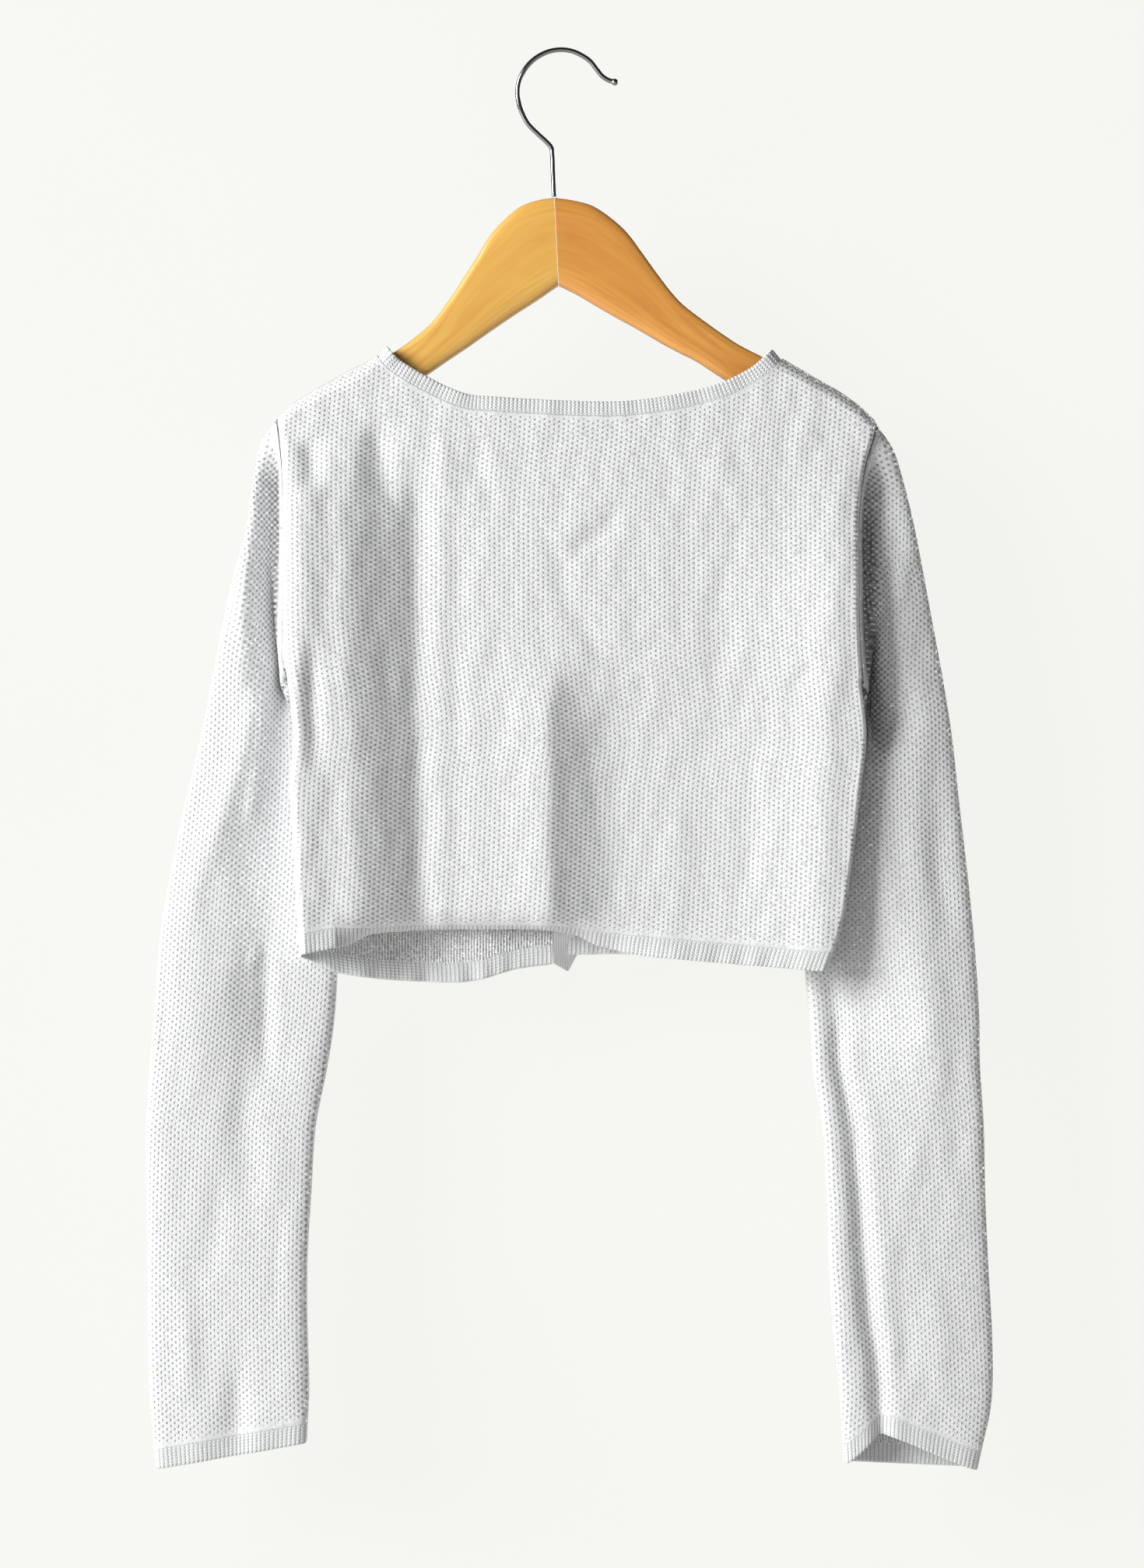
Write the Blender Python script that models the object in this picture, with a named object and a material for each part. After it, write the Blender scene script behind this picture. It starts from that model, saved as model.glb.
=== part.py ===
"""Child's cropped cardigan in fine grey knit, hung on a small wooden hanger.

The back of the cardigan faces -Y and its buttoned opening faces +Y.  X runs to
the wearer's right, Z is up, and the origin is the inner top of the hook, where
a rail bears.  Sizes in the tables are millimetres; meshes are made in metres.
"""

import math

import bmesh
import bpy
import numpy as np
from mathutils import Vector

MM = 0.001

# ---- cloth ---------------------------------------------------------------
CLOTH = 2.0            # thickness of the knitted wall
SEAM_GAP = 0.3         # free space between two pieces along a seam
ARMHOLE_GAP = 0.6      # the same at the armholes, whose seams turn sharply
CUFF_GAP = 0.5         # the same at the cuffs, whose seams run aslant
RIB_RISE = 0.7         # height of a rib over the band's wall
HEM_RIB_PITCH = 2.5    # one rib and one furrow along hem and cuffs
NECK_RIB_PITCH = 2.4   # the same along the neckband
HEM_DEPTH = 10.5       # seam to free edge, hem bands and cuffs
NECK_DEPTH = 7.2       # seam to free edge, neckband
RIBS_PER_INNER_STEP = 2  # the plain inside takes one step per two ribs

# ---- body ----------------------------------------------------------------
BACK_DEPTH = 12.0      # middle of the back's wall behind the hanger plane
FRONT_DEPTH = 8.5      # middle of the fronts' wall before the hanger plane
OVERLAP_LIFT = 3.4     # extra depth of the front that lies on the other
LIFT_FROM_X = 62.0     # the upper front starts to rise here
LIFT_TO_X = 20.0       # and lies on the lower one from here
SIDE_RADIUS = 7.0      # rounding towards the side seams
TOP_RADIUS = 10.0      # rounding towards the shoulder seams
SHOULDER_COS = 0.84    # cosine of the shoulder slope
SIDE_INSET = 1.6       # side seam inside the armhole's plane
ARMHOLE_ROW = 0.49     # share of the side edge taken by the armhole
ARMHOLE_HALF_DEPTH = 9.0
OVAL_POWER = 2.6       # armhole and sleeves are flattened ovals

# ---- front opening (wearer's right front lies over the left one) ---------
FRONT_NECK_Z = -258.0
LOWER_BAND_X = (-4.7, 8.6)
UPPER_BAND_X = (-16.2, -3.0)
LOWER_PANEL_END_X = -5.0
UPPER_PANEL_END_X = -2.7
LOWER_BAND_TIP = (3.6, -531.9)
LOWER_BAND_CORNER_Z = -522.5
LOWER_BAND_FOOT_Z = -526.6
UPPER_BAND_FOOT_Z = -521.7
BUTTON_X = -9.6
BUTTON_TOP_Z = -272.0
BUTTON_SPACING = 57.0
BUTTON_COUNT = 5

# Silhouette of the body: height, armhole or side edge at left and right.
BODY_EDGES = (
    # z, left_x, right_x
    (-213.3, -164.2, 182.7),
    (-222.8, -162.9, 180.5),
    (-239.8, -161.1, 175.5),
    (-262.4, -160.7, 172.3),
    (-302.9, -160.7, 171.9),
    (-329.9, -160.7, 171.9),
    (-361.4, -159.8, 174.2),
    (-377.6, -158.0, 176.8),
    (-396.0, -156.2, 178.2),
    (-421.7, -158.4, 175.5),
    (-455.9, -156.6, 171.5),
    (-473.4, -155.7, 169.2),
    (-509.9, -153.5, 162.5),
    (-530.1, -151.7, 155.2),
)

# Ridge of the cloth over the hanger; the middle row only carries the slope on.
SHOULDER_RIDGE = (
    # x, z
    (-164.7, -213.3),
    (-154.3, -203.8),
    (-140.0, -194.8),
    (-125.5, -186.8),
    (-111.6, -179.6),
    (-105.8, -176.0),
    (6.3, -106.2),
    (127.4, -177.8),
    (144.5, -187.7),
    (160.2, -196.7),
    (171.9, -204.8),
    (183.2, -216.0),
)
NECK_CORNERS_X = (-105.8, 127.4)

# Seam between the back and the neckband.
BACK_NECK = (
    # x, z
    (-105.8, -176.0),
    (-101.2, -182.2),
    (-91.4, -189.5),
    (-78.8, -196.7),
    (-68.0, -202.1),
    (-53.6, -207.0),
    (-40.1, -208.1),
    (-18.0, -209.5),
    (10.3, -210.8),
    (36.0, -210.8),
    (50.4, -209.5),
    (66.2, -207.0),
    (81.0, -203.8),
    (96.8, -198.9),
    (108.5, -193.3),
    (116.1, -188.6),
    (122.9, -182.5),
    (127.4, -177.8),
)

# Seam between each panel and its hem band.
BACK_HEM = (
    # x, z
    (-152.1, -509.9),
    (-124.2, -504.4),
    (-99.5, -502.2),
    (-54.5, -501.3),
    (8.6, -503.6),
    (24.3, -506.7),
    (58.1, -511.7),
    (80.5, -513.9),
    (125.5, -517.5),
    (153.5, -519.8),
)
LOWER_FRONT_HEM = (
    # x, z
    (-152.1, -511.2),
    (-131.0, -521.1),
    (-114.8, -523.8),
    (-86.4, -526.1),
    (-50.4, -525.6),
    (-25.7, -518.9),
    (-5.0, -516.1),
)
UPPER_FRONT_HEM = (
    # x, z
    (-16.2, -511.2),
    (58.1, -511.2),
    (80.5, -513.5),
    (125.5, -517.1),
    (153.5, -518.9),
)

# How far the back's hem band is rolled inwards along its length.
HEM_CURL = (
    # x, degrees
    (-165.0, 0.0),
    (-128.0, 8.0),
    (-118.0, 60.0),
    (-108.0, 100.0),
    (-4.0, 104.0),
    (8.0, 92.0),
    (20.0, 62.0),
    (40.0, 30.0),
    (66.0, 0.0),
    (165.0, 0.0),
)

# Broad levels of the back: a soft step about a leaning line, the rise to each
# side of it, and the heights where it starts and where it is fully grown.
BACK_STEPS = (
    # x_top, x_bottom, width, z_start, z_full, left_rise, right_rise
    (-110.0, -97.0, 46.0, -200.0, -295.0, 13.0, 0.0),
    (11.0, 12.0, 44.0, -335.0, -405.0, 0.0, -8.0),
    (138.0, 128.0, 96.0, -235.0, -330.0, 0.0, 8.0),
)
STEP_TOP_Z = -200.0    # heights between which a step's line leans
STEP_FOOT_Z = -530.0
# Folds of the panels: a line from top to bottom, its rise outwards (a valley
# is negative) and its half-widths to the left and to the right.
BACK_FOLDS = (
    # x_top, z_top, x_bottom, z_bottom, rise, left, right
    (-149.0, -222.0, -151.0, -560.0, 2.5, 9.0, 14.0),
    (-83.0, -230.0, -82.0, -560.0, -1.6, 7.0, 9.0),
    (-8.0, -340.0, -8.0, -560.0, 2.2, 18.0, 8.0),
    (160.0, -222.0, 147.0, -560.0, 1.5, 16.0, 10.0),
    (-143.0, -330.0, -142.0, -425.0, -2.4, 5.0, 6.0),
)
FRONT_FOLDS = (
    # x_top, z_top, x_bottom, z_bottom, rise, left, right
    (-88.0, -262.0, -84.0, -560.0, 3.0, 16.0, 20.0),
    (-42.0, -330.0, -46.0, -560.0, -1.6, 9.0, 12.0),
    (66.0, -300.0, 58.0, -560.0, 2.6, 15.0, 18.0),
    (104.0, -280.0, 98.0, -560.0, -1.6, 10.0, 12.0),
)
FOLD_FADE = 38.0       # a fold dies out over this length

# Sleeves: a row for each ring, from under the armhole seam to the cuff seam.
# The outer and the inner end of the ring, their depths and its half-thickness.
LEFT_SLEEVE = (
    # outer_x, outer_z, inner_x, inner_z, outer_y, inner_y, half
    (-171.0, -220.5, -162.0, -363.2, 0.5, 3.0, 9.0),
    (-174.6, -233.1, -161.6, -366.8, 1.5, 8.0, 9.0),
    (-178.2, -253.3, -159.8, -371.7, 2.5, 12.5, 9.0),
    (-181.3, -275.9, -156.2, -378.0, 3.5, 15.5, 9.0),
    (-188.8, -302.9, -151.2, -386.1, 4.5, 17.5, 8.5),
    (-195.0, -329.9, -146.7, -395.6, 5.5, 18.5, 8.0),
    (-201.0, -361.4, -142.2, -409.9, 6.5, 18.5, 8.0),
    (-208.3, -397.4, -137.7, -433.4, 7.0, 18.5, 8.0),
    (-216.9, -433.4, -134.1, -458.1, 7.5, 18.5, 8.0),
    (-225.5, -473.9, -131.8, -491.9, 8.0, 18.5, 8.0),
    (-231.8, -514.4, -131.0, -523.4, 8.0, 18.5, 8.0),
    (-234.9, -554.9, -133.0, -559.4, 8.0, 17.0, 8.0),
    (-237.4, -586.4, -137.2, -588.6, 8.0, 13.5, 8.0),
    (-239.4, -622.4, -143.6, -622.4, 8.0, 10.5, 8.0),
    (-239.2, -662.9, -146.0, -660.6, 8.0, 9.0, 8.0),
    (-238.4, -703.4, -148.2, -698.9, 8.0, 8.0, 8.0),
    (-238.4, -743.9, -148.2, -736.0, 8.0, 8.0, 8.0),
    (-237.2, -779.9, -147.2, -771.0, 8.0, 8.0, 8.0),
    (-234.9, -807.8, -148.0, -793.0, 8.0, 8.0, 8.0),
)
RIGHT_SLEEVE = (
    # outer_x, outer_z, inner_x, inner_z, outer_y, inner_y, half
    (188.1, -222.8, 177.4, -367.9, 0.5, 3.0, 9.0),
    (193.1, -235.3, 177.0, -371.4, 1.5, 8.0, 9.0),
    (198.5, -253.3, 174.6, -376.4, 2.5, 12.5, 9.0),
    (203.8, -275.9, 170.3, -382.7, 3.5, 15.5, 9.0),
    (208.3, -298.4, 164.8, -390.4, 4.5, 17.5, 8.5),
    (214.2, -329.9, 158.0, -399.2, 5.5, 18.5, 8.0),
    (220.1, -361.4, 153.5, -413.1, 6.5, 18.5, 8.0),
    (225.5, -395.1, 149.0, -434.2, 7.0, 18.5, 8.0),
    (230.0, -435.6, 145.3, -460.4, 7.5, 18.5, 8.0),
    (234.5, -473.9, 143.6, -491.9, 8.0, 18.5, 8.0),
    (238.5, -514.4, 142.7, -523.4, 8.0, 18.5, 8.0),
    (241.2, -554.9, 145.6, -559.4, 8.0, 17.0, 8.0),
    (241.7, -586.4, 147.2, -588.6, 8.0, 13.5, 8.0),
    (243.9, -622.4, 152.6, -622.4, 8.0, 10.5, 8.0),
    (244.8, -662.9, 155.0, -660.6, 8.0, 9.0, 8.0),
    (246.6, -703.4, 156.2, -698.9, 8.0, 8.0, 8.0),
    (248.8, -743.9, 158.4, -737.1, 8.0, 8.0, 8.0),
    (248.4, -779.9, 162.2, -773.1, 8.0, 8.0, 8.0),
    (242.6, -808.6, 164.2, -805.1, 8.0, 8.0, 8.0),
)
SLEEVE_SIDES = 20      # points round a sleeve ring
SPLIT_RING = 10        # ring above the elbow where its two solids meet
STEP_FROM = 0.34       # share of the ring where a sleeve starts to step back
STEP_TO = 0.70         # and where it is wholly behind the body

# Creases down a sleeve's near face: ring and share of the ring (0 outer edge,
# 1 inner edge) at both ends, rise towards the back's side, half-width.
LEFT_CREASES = (
    # ring_top, share_top, ring_bottom, share_bottom, rise, width
    (2.0, 0.80, 9.0, 0.26, 2.2, 0.10),
    (3.0, 0.62, 8.0, 0.62, -1.4, 0.12),
    (10.0, 0.50, 14.0, 0.58, -1.2, 0.10),
    (16.5, 0.58, 19.0, 0.54, -2.6, 0.09),
)
RIGHT_CREASES = (
    # ring_top, share_top, ring_bottom, share_bottom, rise, width
    (2.0, 0.55, 9.0, 0.66, -2.4, 0.14),
    (10.5, 0.88, 19.0, 0.74, -4.0, 0.07),
    (3.0, 0.25, 12.0, 0.30, 1.6, 0.14),
)
# Near face of the right cuff, pushed up into a notch.
NOTCH_SHARE = 0.74
NOTCH_RISE = 20.0
NOTCH_FROM_RING = 16.0

# ---- hanger --------------------------------------------------------------
ARM_SIDES = 12
ARM_ROUNDING = 0.5     # exponent that squares an arm's oval section
LEFT_ARM = (
    # top_x, top_z, bottom_x, bottom_z, half_thickness
    (-4.0, -84.4, -1.6, -135.0, 6.0),
    (-14.0, -86.0, -14.0, -143.6, 6.0),
    (-23.9, -89.8, -25.2, -150.8, 6.0),
    (-32.9, -97.2, -36.5, -158.4, 6.0),
    (-41.0, -106.2, -46.8, -165.6, 6.0),
    (-47.7, -117.0, -54.5, -171.0, 6.0),
    (-54.5, -127.8, -62.1, -176.0, 6.0),
    (-65.2, -144.0, -71.1, -182.2, 6.0),
    (-77.0, -158.8, -81.0, -189.0, 6.0),
    (-97.2, -174.1, -101.2, -202.5, 5.4),
    (-125.5, -190.9, -131.0, -221.4, 5.0),
    (-144.5, -202.4, -150.8, -232.1, 4.6),
    (-152.5, -209.4, -155.6, -230.0, 3.4),
    (-155.5, -214.6, -156.8, -225.0, 2.0),
)
RIGHT_ARM = (
    # top_x, top_z, bottom_x, bottom_z, half_thickness
    (-3.7, -84.4, -1.3, -135.0, 6.0),
    (7.7, -86.0, 9.5, -140.4, 6.0),
    (18.4, -89.1, 20.2, -146.7, 6.0),
    (28.8, -95.9, 31.1, -153.0, 6.0),
    (38.2, -104.4, 41.0, -158.4, 6.0),
    (46.4, -115.2, 50.4, -163.8, 6.0),
    (54.5, -126.5, 59.0, -168.8, 6.0),
    (65.2, -140.4, 69.3, -174.2, 6.0),
    (75.2, -149.8, 79.7, -179.6, 6.0),
    (99.9, -167.4, 103.0, -194.8, 5.8),
    (117.9, -177.0, 122.0, -204.3, 5.2),
    (144.5, -191.9, 149.0, -220.5, 5.0),
    (163.8, -203.9, 168.7, -231.7, 4.6),
    (171.0, -210.5, 173.5, -229.7, 3.4),
    (173.8, -216.1, 175.0, -225.5, 2.0),
)
HOOK_WIRE_RADIUS = 1.4
HOOK_BALL_RADIUS = 2.0
HOOK_SIDES = 8
HOOK_STEPS = 34
HOOK_LINE = (
    # x, z
    (31.1, -17.3),
    (27.4, -16.2),
    (24.1, -14.1),
    (20.7, -10.1),
    (17.2, -5.6),
    (11.5, -1.6),
    (5.9, 0.7),
    (0.0, 1.4),
    (-5.9, 0.7),
    (-11.7, -1.6),
    (-17.1, -5.4),
    (-21.6, -11.0),
    (-24.3, -17.1),
    (-25.1, -23.4),
    (-24.3, -29.7),
    (-22.1, -36.0),
    (-19.1, -41.4),
    (-13.5, -47.2),
    (-8.1, -52.2),
    (-5.6, -55.1),
    (-5.0, -59.4),
    (-4.6, -68.9),
    (-4.0, -83.4),
)

# ---- buttons -------------------------------------------------------------
BUTTON_SIDES = 12
BUTTON_PROFILE = (
    # radius, height
    (0.0, 0.9),
    (3.4, 0.9),
    (4.2, 1.9),
    (5.2, 1.9),
    (5.6, 1.3),
    (5.0, 0.0),
    (0.0, 0.0),
)


def column(table, index):
    """One named column of a table, as an array."""
    return np.array([row[index] for row in table], dtype=float)


def smooth(keys, values, at):
    """A cubic through the values at rising keys, held flat outside them."""
    slopes = np.gradient(values, keys)
    at = np.clip(at, keys[0], keys[-1])
    cell = np.clip(np.searchsorted(keys, at) - 1, 0, len(keys) - 2)
    span = keys[cell + 1] - keys[cell]
    t = (at - keys[cell]) / span
    start = (2 * t ** 3 - 3 * t ** 2 + 1) * values[cell]
    start = start + (t ** 3 - 2 * t ** 2 + t) * span * slopes[cell]
    end = (3 * t ** 2 - 2 * t ** 3) * values[cell + 1]
    return start + end + (t ** 3 - t ** 2) * span * slopes[cell + 1]


def curve(table, at, index=1):
    """Smooth value of a table's column at values of its first column."""
    order = np.argsort(column(table, 0))
    return smooth(column(table, 0)[order], column(table, index)[order], at)


def straight(table, at):
    """Value of a table's second column with straight runs between rows."""
    return np.interp(at, column(table, 0), column(table, 1))


def ease(t):
    """Zero below 0, one above 1, and a soft S between."""
    t = np.clip(t, 0.0, 1.0)
    return t * t * (3 - 2 * t)


def quarter_round(t):
    """Height of a quarter circle at the share t of its radius."""
    t = np.clip(t, 0.0, 1.0)
    return np.sqrt(1 - (1 - t) ** 2)


def oval(c):
    """Half-thickness share of a flattened oval at c, from -1 to 1."""
    return (1 - np.abs(np.clip(c, -1, 1)) ** OVAL_POWER) ** (1 / OVAL_POWER)


# ---------------------------------------------------------------- the body
TIP_Z = (-213.3, -216.0)
HEM_END_Z = (-509.9, -519.8)
UNDERARM_Z = tuple(t + ARMHOLE_ROW * (h - t) for t, h in zip(TIP_Z, HEM_END_Z))


def edge_x(side, z):
    """Armhole or side edge in the body's silhouette; side 0 left, 1 right."""
    return curve(BODY_EDGES, z, 1 + side)


def side_x(side, z):
    """Middle of the wall at the side edge, drawn in under the armhole."""
    inset = SIDE_INSET * ease((UNDERARM_Z[side] + 12.0 - z) / 18.0)
    return edge_x(side, z) + (inset if side == 0 else -inset)


def armhole_depth(side, z):
    """Half-depth of the armhole at a height, nothing outside it."""
    share = (TIP_Z[side] - z) / (TIP_Z[side] - UNDERARM_Z[side])
    return ARMHOLE_HALF_DEPTH * oval(2 * np.clip(share, 0, 1) - 1)


def steps(table, x, z):
    """Sum of a panel's broad steps at a point."""
    total = np.zeros(np.broadcast(x, z).shape)
    for x_top, x_bottom, width, z_start, z_full, left_rise, right_rise in table:
        down = (STEP_TOP_Z - z) / (STEP_TOP_Z - STEP_FOOT_Z)
        across = ease(0.5 + (x - x_top - (x_bottom - x_top) * down) / width)
        grown = ease((z_start - z) / (z_start - z_full))
        total = total + grown * (left_rise + (right_rise - left_rise) * across)
    return total


def folds(table, x, z):
    """Sum of a panel's folds at a point."""
    total = np.zeros(np.broadcast(x, z).shape)
    for x_top, z_top, x_bottom, z_bottom, rise, left, right in table:
        along = (z_top - z) / (z_top - z_bottom)
        away = x - (x_top + (x_bottom - x_top) * along)
        width = np.where(away < 0, left, right)
        fade = ease((z_top - z) / FOLD_FADE) * ease((z - z_bottom) / FOLD_FADE)
        total = total + rise * fade * np.exp(-(away / width) ** 2)
    return total


def depth(face, x, z):
    """Distance of a panel's middle from the hanger plane.

    The full depth with its folds fades in a quarter circle to nothing at the
    shoulder ridge, and to the armhole's depth at the side edges.
    """
    if face == "back":
        full = BACK_DEPTH + steps(BACK_STEPS, x, z) + folds(BACK_FOLDS, x, z)
    else:
        full = FRONT_DEPTH + folds(FRONT_FOLDS, x, z)
    if face == "upper_front":
        rise = (LIFT_FROM_X - x) / (LIFT_FROM_X - LIFT_TO_X)
        full = full + OVERLAP_LIFT * ease(rise)
    left_gap = np.maximum(x - side_x(0, z), 0.0)
    right_gap = np.maximum(side_x(1, z) - x, 0.0)
    near_left = left_gap < right_gap
    edge = np.where(near_left, armhole_depth(0, z), armhole_depth(1, z))
    below_ridge = (straight(SHOULDER_RIDGE, x) - z) * SHOULDER_COS
    roundness = quarter_round(np.minimum(left_gap, right_gap) / SIDE_RADIUS)
    roundness = roundness * quarter_round(below_ridge / TOP_RADIUS)
    value = edge + (full - edge) * roundness
    return np.maximum(value, SEAM_GAP / 2)


def surface(face, x, z):
    """Points and outward normals of a panel's middle surface."""
    sign = -1.0 if face == "back" else 1.0
    inside = 0.02
    centre = 10.0
    xi = x + np.where(x < centre, inside, -inside)
    zi = z - inside
    step = 0.01
    dx = (depth(face, xi + step, zi) - depth(face, xi - step, zi)) / (2 * step)
    dz = (depth(face, xi, zi + step) - depth(face, xi, zi - step)) / (2 * step)
    points = np.stack([x, sign * depth(face, x, z), z], axis=-1)
    normals = np.stack([-dx, sign * np.ones_like(dx), -dz], axis=-1)
    return points, unit(normals)


def unit(vectors):
    """Vectors scaled to length one."""
    length = np.linalg.norm(vectors, axis=-1, keepdims=True)
    return vectors / np.maximum(length, 1e-9)


def lower_neck(x):
    """Neck seam height of the front that lies under."""
    corner = NECK_CORNERS_X[0]
    start = straight(SHOULDER_RIDGE, corner)
    share = np.clip((x - corner) / (LOWER_BAND_X[0] - corner), 0.0, 1.0)
    return start + (FRONT_NECK_Z - start) * np.sin(share * math.pi / 2)


def upper_neck(x):
    """Neck seam height of the front that lies on top."""
    corner = NECK_CORNERS_X[1]
    start = straight(SHOULDER_RIDGE, corner)
    share = np.clip((x - corner) / (UPPER_BAND_X[1] - corner), 0.0, 1.0)
    return start + (FRONT_NECK_Z - start) * np.sin(share * math.pi / 2)


# ------------------------------------------------------------- mesh makers
def make_material(name, colour, roughness, metallic=0.0):
    """Principled material of one real finish."""
    material = bpy.data.materials.new(name)
    material.use_nodes = True
    shader = material.node_tree.nodes["Principled BSDF"]
    shader.inputs["Base Color"].default_value = (*colour, 1.0)
    shader.inputs["Roughness"].default_value = roughness
    shader.inputs["Metallic"].default_value = metallic
    material.diffuse_color = (*colour, 1.0)
    return material


def make_object(name, points, faces, material, sharp_angle=50.0):
    """Closed mesh object from points in millimetres."""
    mesh = bpy.data.meshes.new(name)
    mesh.from_pydata([tuple(p) for p in np.asarray(points) * MM], [], faces)
    body = bmesh.new()
    body.from_mesh(mesh)
    bmesh.ops.recalc_face_normals(body, faces=body.faces)
    body.to_mesh(mesh)
    body.free()
    mesh.shade_smooth()
    mesh.set_sharp_from_angle(angle=math.radians(sharp_angle))
    mesh.materials.append(material)
    item = bpy.data.objects.new(name, mesh)
    bpy.context.scene.collection.objects.link(item)
    return item


def strip_faces(first, second, closed):
    """Quads between two lines of point numbers of the same length."""
    count = len(first) if closed else len(first) - 1
    faces = []
    for i in range(count):
        j = (i + 1) % len(first)
        faces.append((first[i], first[j], second[j], second[i]))
    return faces


def cloth_wall(name, points, normals, material, closed=False):
    """Wall of even thickness about a grid of points (columns, rows)."""
    columns, rows = points.shape[:2]
    shift = normals * (CLOTH / 2)
    outer = (points + shift).reshape(-1, 3)
    inner = (points - shift).reshape(-1, 3)
    index = np.arange(columns * rows).reshape(columns, rows)
    under = index + columns * rows
    faces = []
    for row in range(rows - 1):
        faces += strip_faces(index[:, row], index[:, row + 1], closed)
        faces += strip_faces(under[:, row], under[:, row + 1], closed)
    for row in (0, rows - 1):
        faces += strip_faces(index[:, row], under[:, row], closed)
    if not closed:
        for end in (0, columns - 1):
            faces += strip_faces(index[end], under[end], False)
    faces = [tuple(int(i) for i in face) for face in faces]
    return make_object(name, np.concatenate([outer, inner]), faces, material)


def fan(inner, outer):
    """Triangles from an inner edge to the finer outer line beside it."""
    half = len(outer) // 2
    faces = []
    for i in range(half):
        faces.append((inner[0], outer[i], outer[i + 1]))
    faces.append((inner[0], outer[half], inner[1]))
    for i in range(half, len(outer) - 1):
        faces.append((inner[1], outer[i], outer[i + 1]))
    return faces


def hanging(line, normals):
    """Point, outward normal and downward direction along a hem seam."""
    down = np.broadcast_to(np.array([0.0, 0.0, -1.0]), normals.shape)
    down = down - normals * np.sum(normals * down, axis=-1, keepdims=True)
    return line, normals, unit(down)


def standing(line, normals):
    """Point, outward normal and inward direction along the neck seam."""
    ahead = unit(np.gradient(line, axis=0))
    normals = normals - ahead * np.sum(normals * ahead, axis=-1, keepdims=True)
    normals = unit(normals)
    return line, normals, np.cross(normals, ahead)


def spaced(parts, count, closed):
    """Frames taken again at even steps along their line."""
    line = parts[0]
    if closed:
        parts = [np.concatenate([p, p[:1]]) for p in parts]
        line = parts[0]
    run = np.linalg.norm(np.diff(line, axis=0), axis=1)
    run = np.concatenate([[0.0], np.cumsum(run)])
    at = np.linspace(0.0, run[-1], count + 1)
    if closed:
        at = at[:-1]
    result = []
    for part in parts:
        axes = [np.interp(at, run, part[:, axis]) for axis in range(3)]
        result.append(np.stack(axes, axis=-1))
    return result[0], unit(result[1]), unit(result[2])


def ribbed_band(name, parts, width, pitch, material, closed=False, roll=None,
                gap=SEAM_GAP):
    """Band along a seam: ribs raised outside, a plain wall inside."""
    line = parts[0]
    length = np.linalg.norm(np.diff(line, axis=0), axis=1).sum()
    step = 2 * RIBS_PER_INNER_STEP
    count = step * int(round(length / pitch / RIBS_PER_INNER_STEP))
    line, normals, across = spaced(parts, count, closed)
    seam = line + across * gap
    if roll is not None:
        turn = np.radians(straight(roll, line[:, 0]))[:, None]
        seam = seam + across * np.sin(turn) * (CLOTH / 2 + RIB_RISE)
        turned = np.cos(turn) * across - np.sin(turn) * normals
        normals = np.cos(turn) * normals + np.sin(turn) * across
        across = turned
    free = seam + across * width
    rise = CLOTH / 2 + RIB_RISE * (np.arange(len(line)) % 2)[:, None]
    outer = np.stack([seam + normals * rise, free + normals * rise])
    coarse = np.arange(0, len(line), step)
    back = normals[coarse] * (CLOTH / 2)
    inner = np.stack([seam[coarse] - back, free[coarse] - back])
    points = np.concatenate([outer.reshape(-1, 3), inner.reshape(-1, 3)])
    total = len(line)
    few = len(coarse)
    out_rows = [np.arange(total), np.arange(total) + total]
    in_rows = [np.arange(few) + 2 * total, np.arange(few) + 2 * total + few]
    faces = strip_faces(out_rows[0], out_rows[1], closed)
    faces += strip_faces(in_rows[0], in_rows[1], closed)
    for edge in (0, 1):
        cells = few if closed else few - 1
        for i in range(cells):
            j = (i + 1) % few
            beside = [out_rows[edge][(i * step + k) % total] for k in range(step + 1)]
            faces += fan((in_rows[edge][i], in_rows[edge][j]), beside)
    if not closed:
        for end in (0, -1):
            faces.append((out_rows[0][end], out_rows[1][end],
                          in_rows[1][end], in_rows[0][end]))
    faces = [tuple(int(i) for i in face) for face in faces]
    return make_object(name, points, faces, material, 70.0)


# ------------------------------------------------------------------ panels
ROWS = (0.0, 0.007, 0.02, 0.04, 0.075, 0.13, 0.2, 0.27, 0.345, 0.42,
        ARMHOLE_ROW, 0.53, 0.62, 0.72, 0.82, 0.91, 1.0)
UNDERARM_INDEX = ROWS.index(ARMHOLE_ROW)
EDGE_COLUMNS = (0.0, 0.006, 0.018, 0.04, 0.08, 0.125)
CORNER_STEPS = (0.0, 0.002, 0.007, 0.022)
BACK_COLUMNS = 19
FRONT_NECK_COLUMNS = (0.0, 0.007, 0.02, 0.045, 0.09, 0.17, 0.28, 0.4, 0.55,
                      0.7, 0.85, 1.0)
BAND_ROWS = 9


def panel_grid(face, shares, x_of, top_of, bottom_of):
    """Points and normals of a panel, column by column from its top edge."""
    shares = np.asarray(shares, dtype=float)
    top_x = x_of(shares, -190.0)
    top = top_of(top_x)
    top_x = x_of(shares, top)
    top = top_of(top_x)
    bottom = bottom_of(x_of(shares, -512.0))
    z = top[:, None] + (bottom - top)[:, None] * np.asarray(ROWS)[None, :]
    x = x_of(shares[:, None], z)
    points, normals = surface(face, x, z)
    corners = np.array(NECK_CORNERS_X)
    on_ridge = (top_x <= corners[0] + 0.01) | (top_x >= corners[1] - 0.01)
    normals[on_ridge, 0, 1] = 0.0
    points[on_ridge, 0, 1] = np.sign(points[on_ridge, 0, 1]) * SEAM_GAP / 2
    return points, unit(normals)


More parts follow.
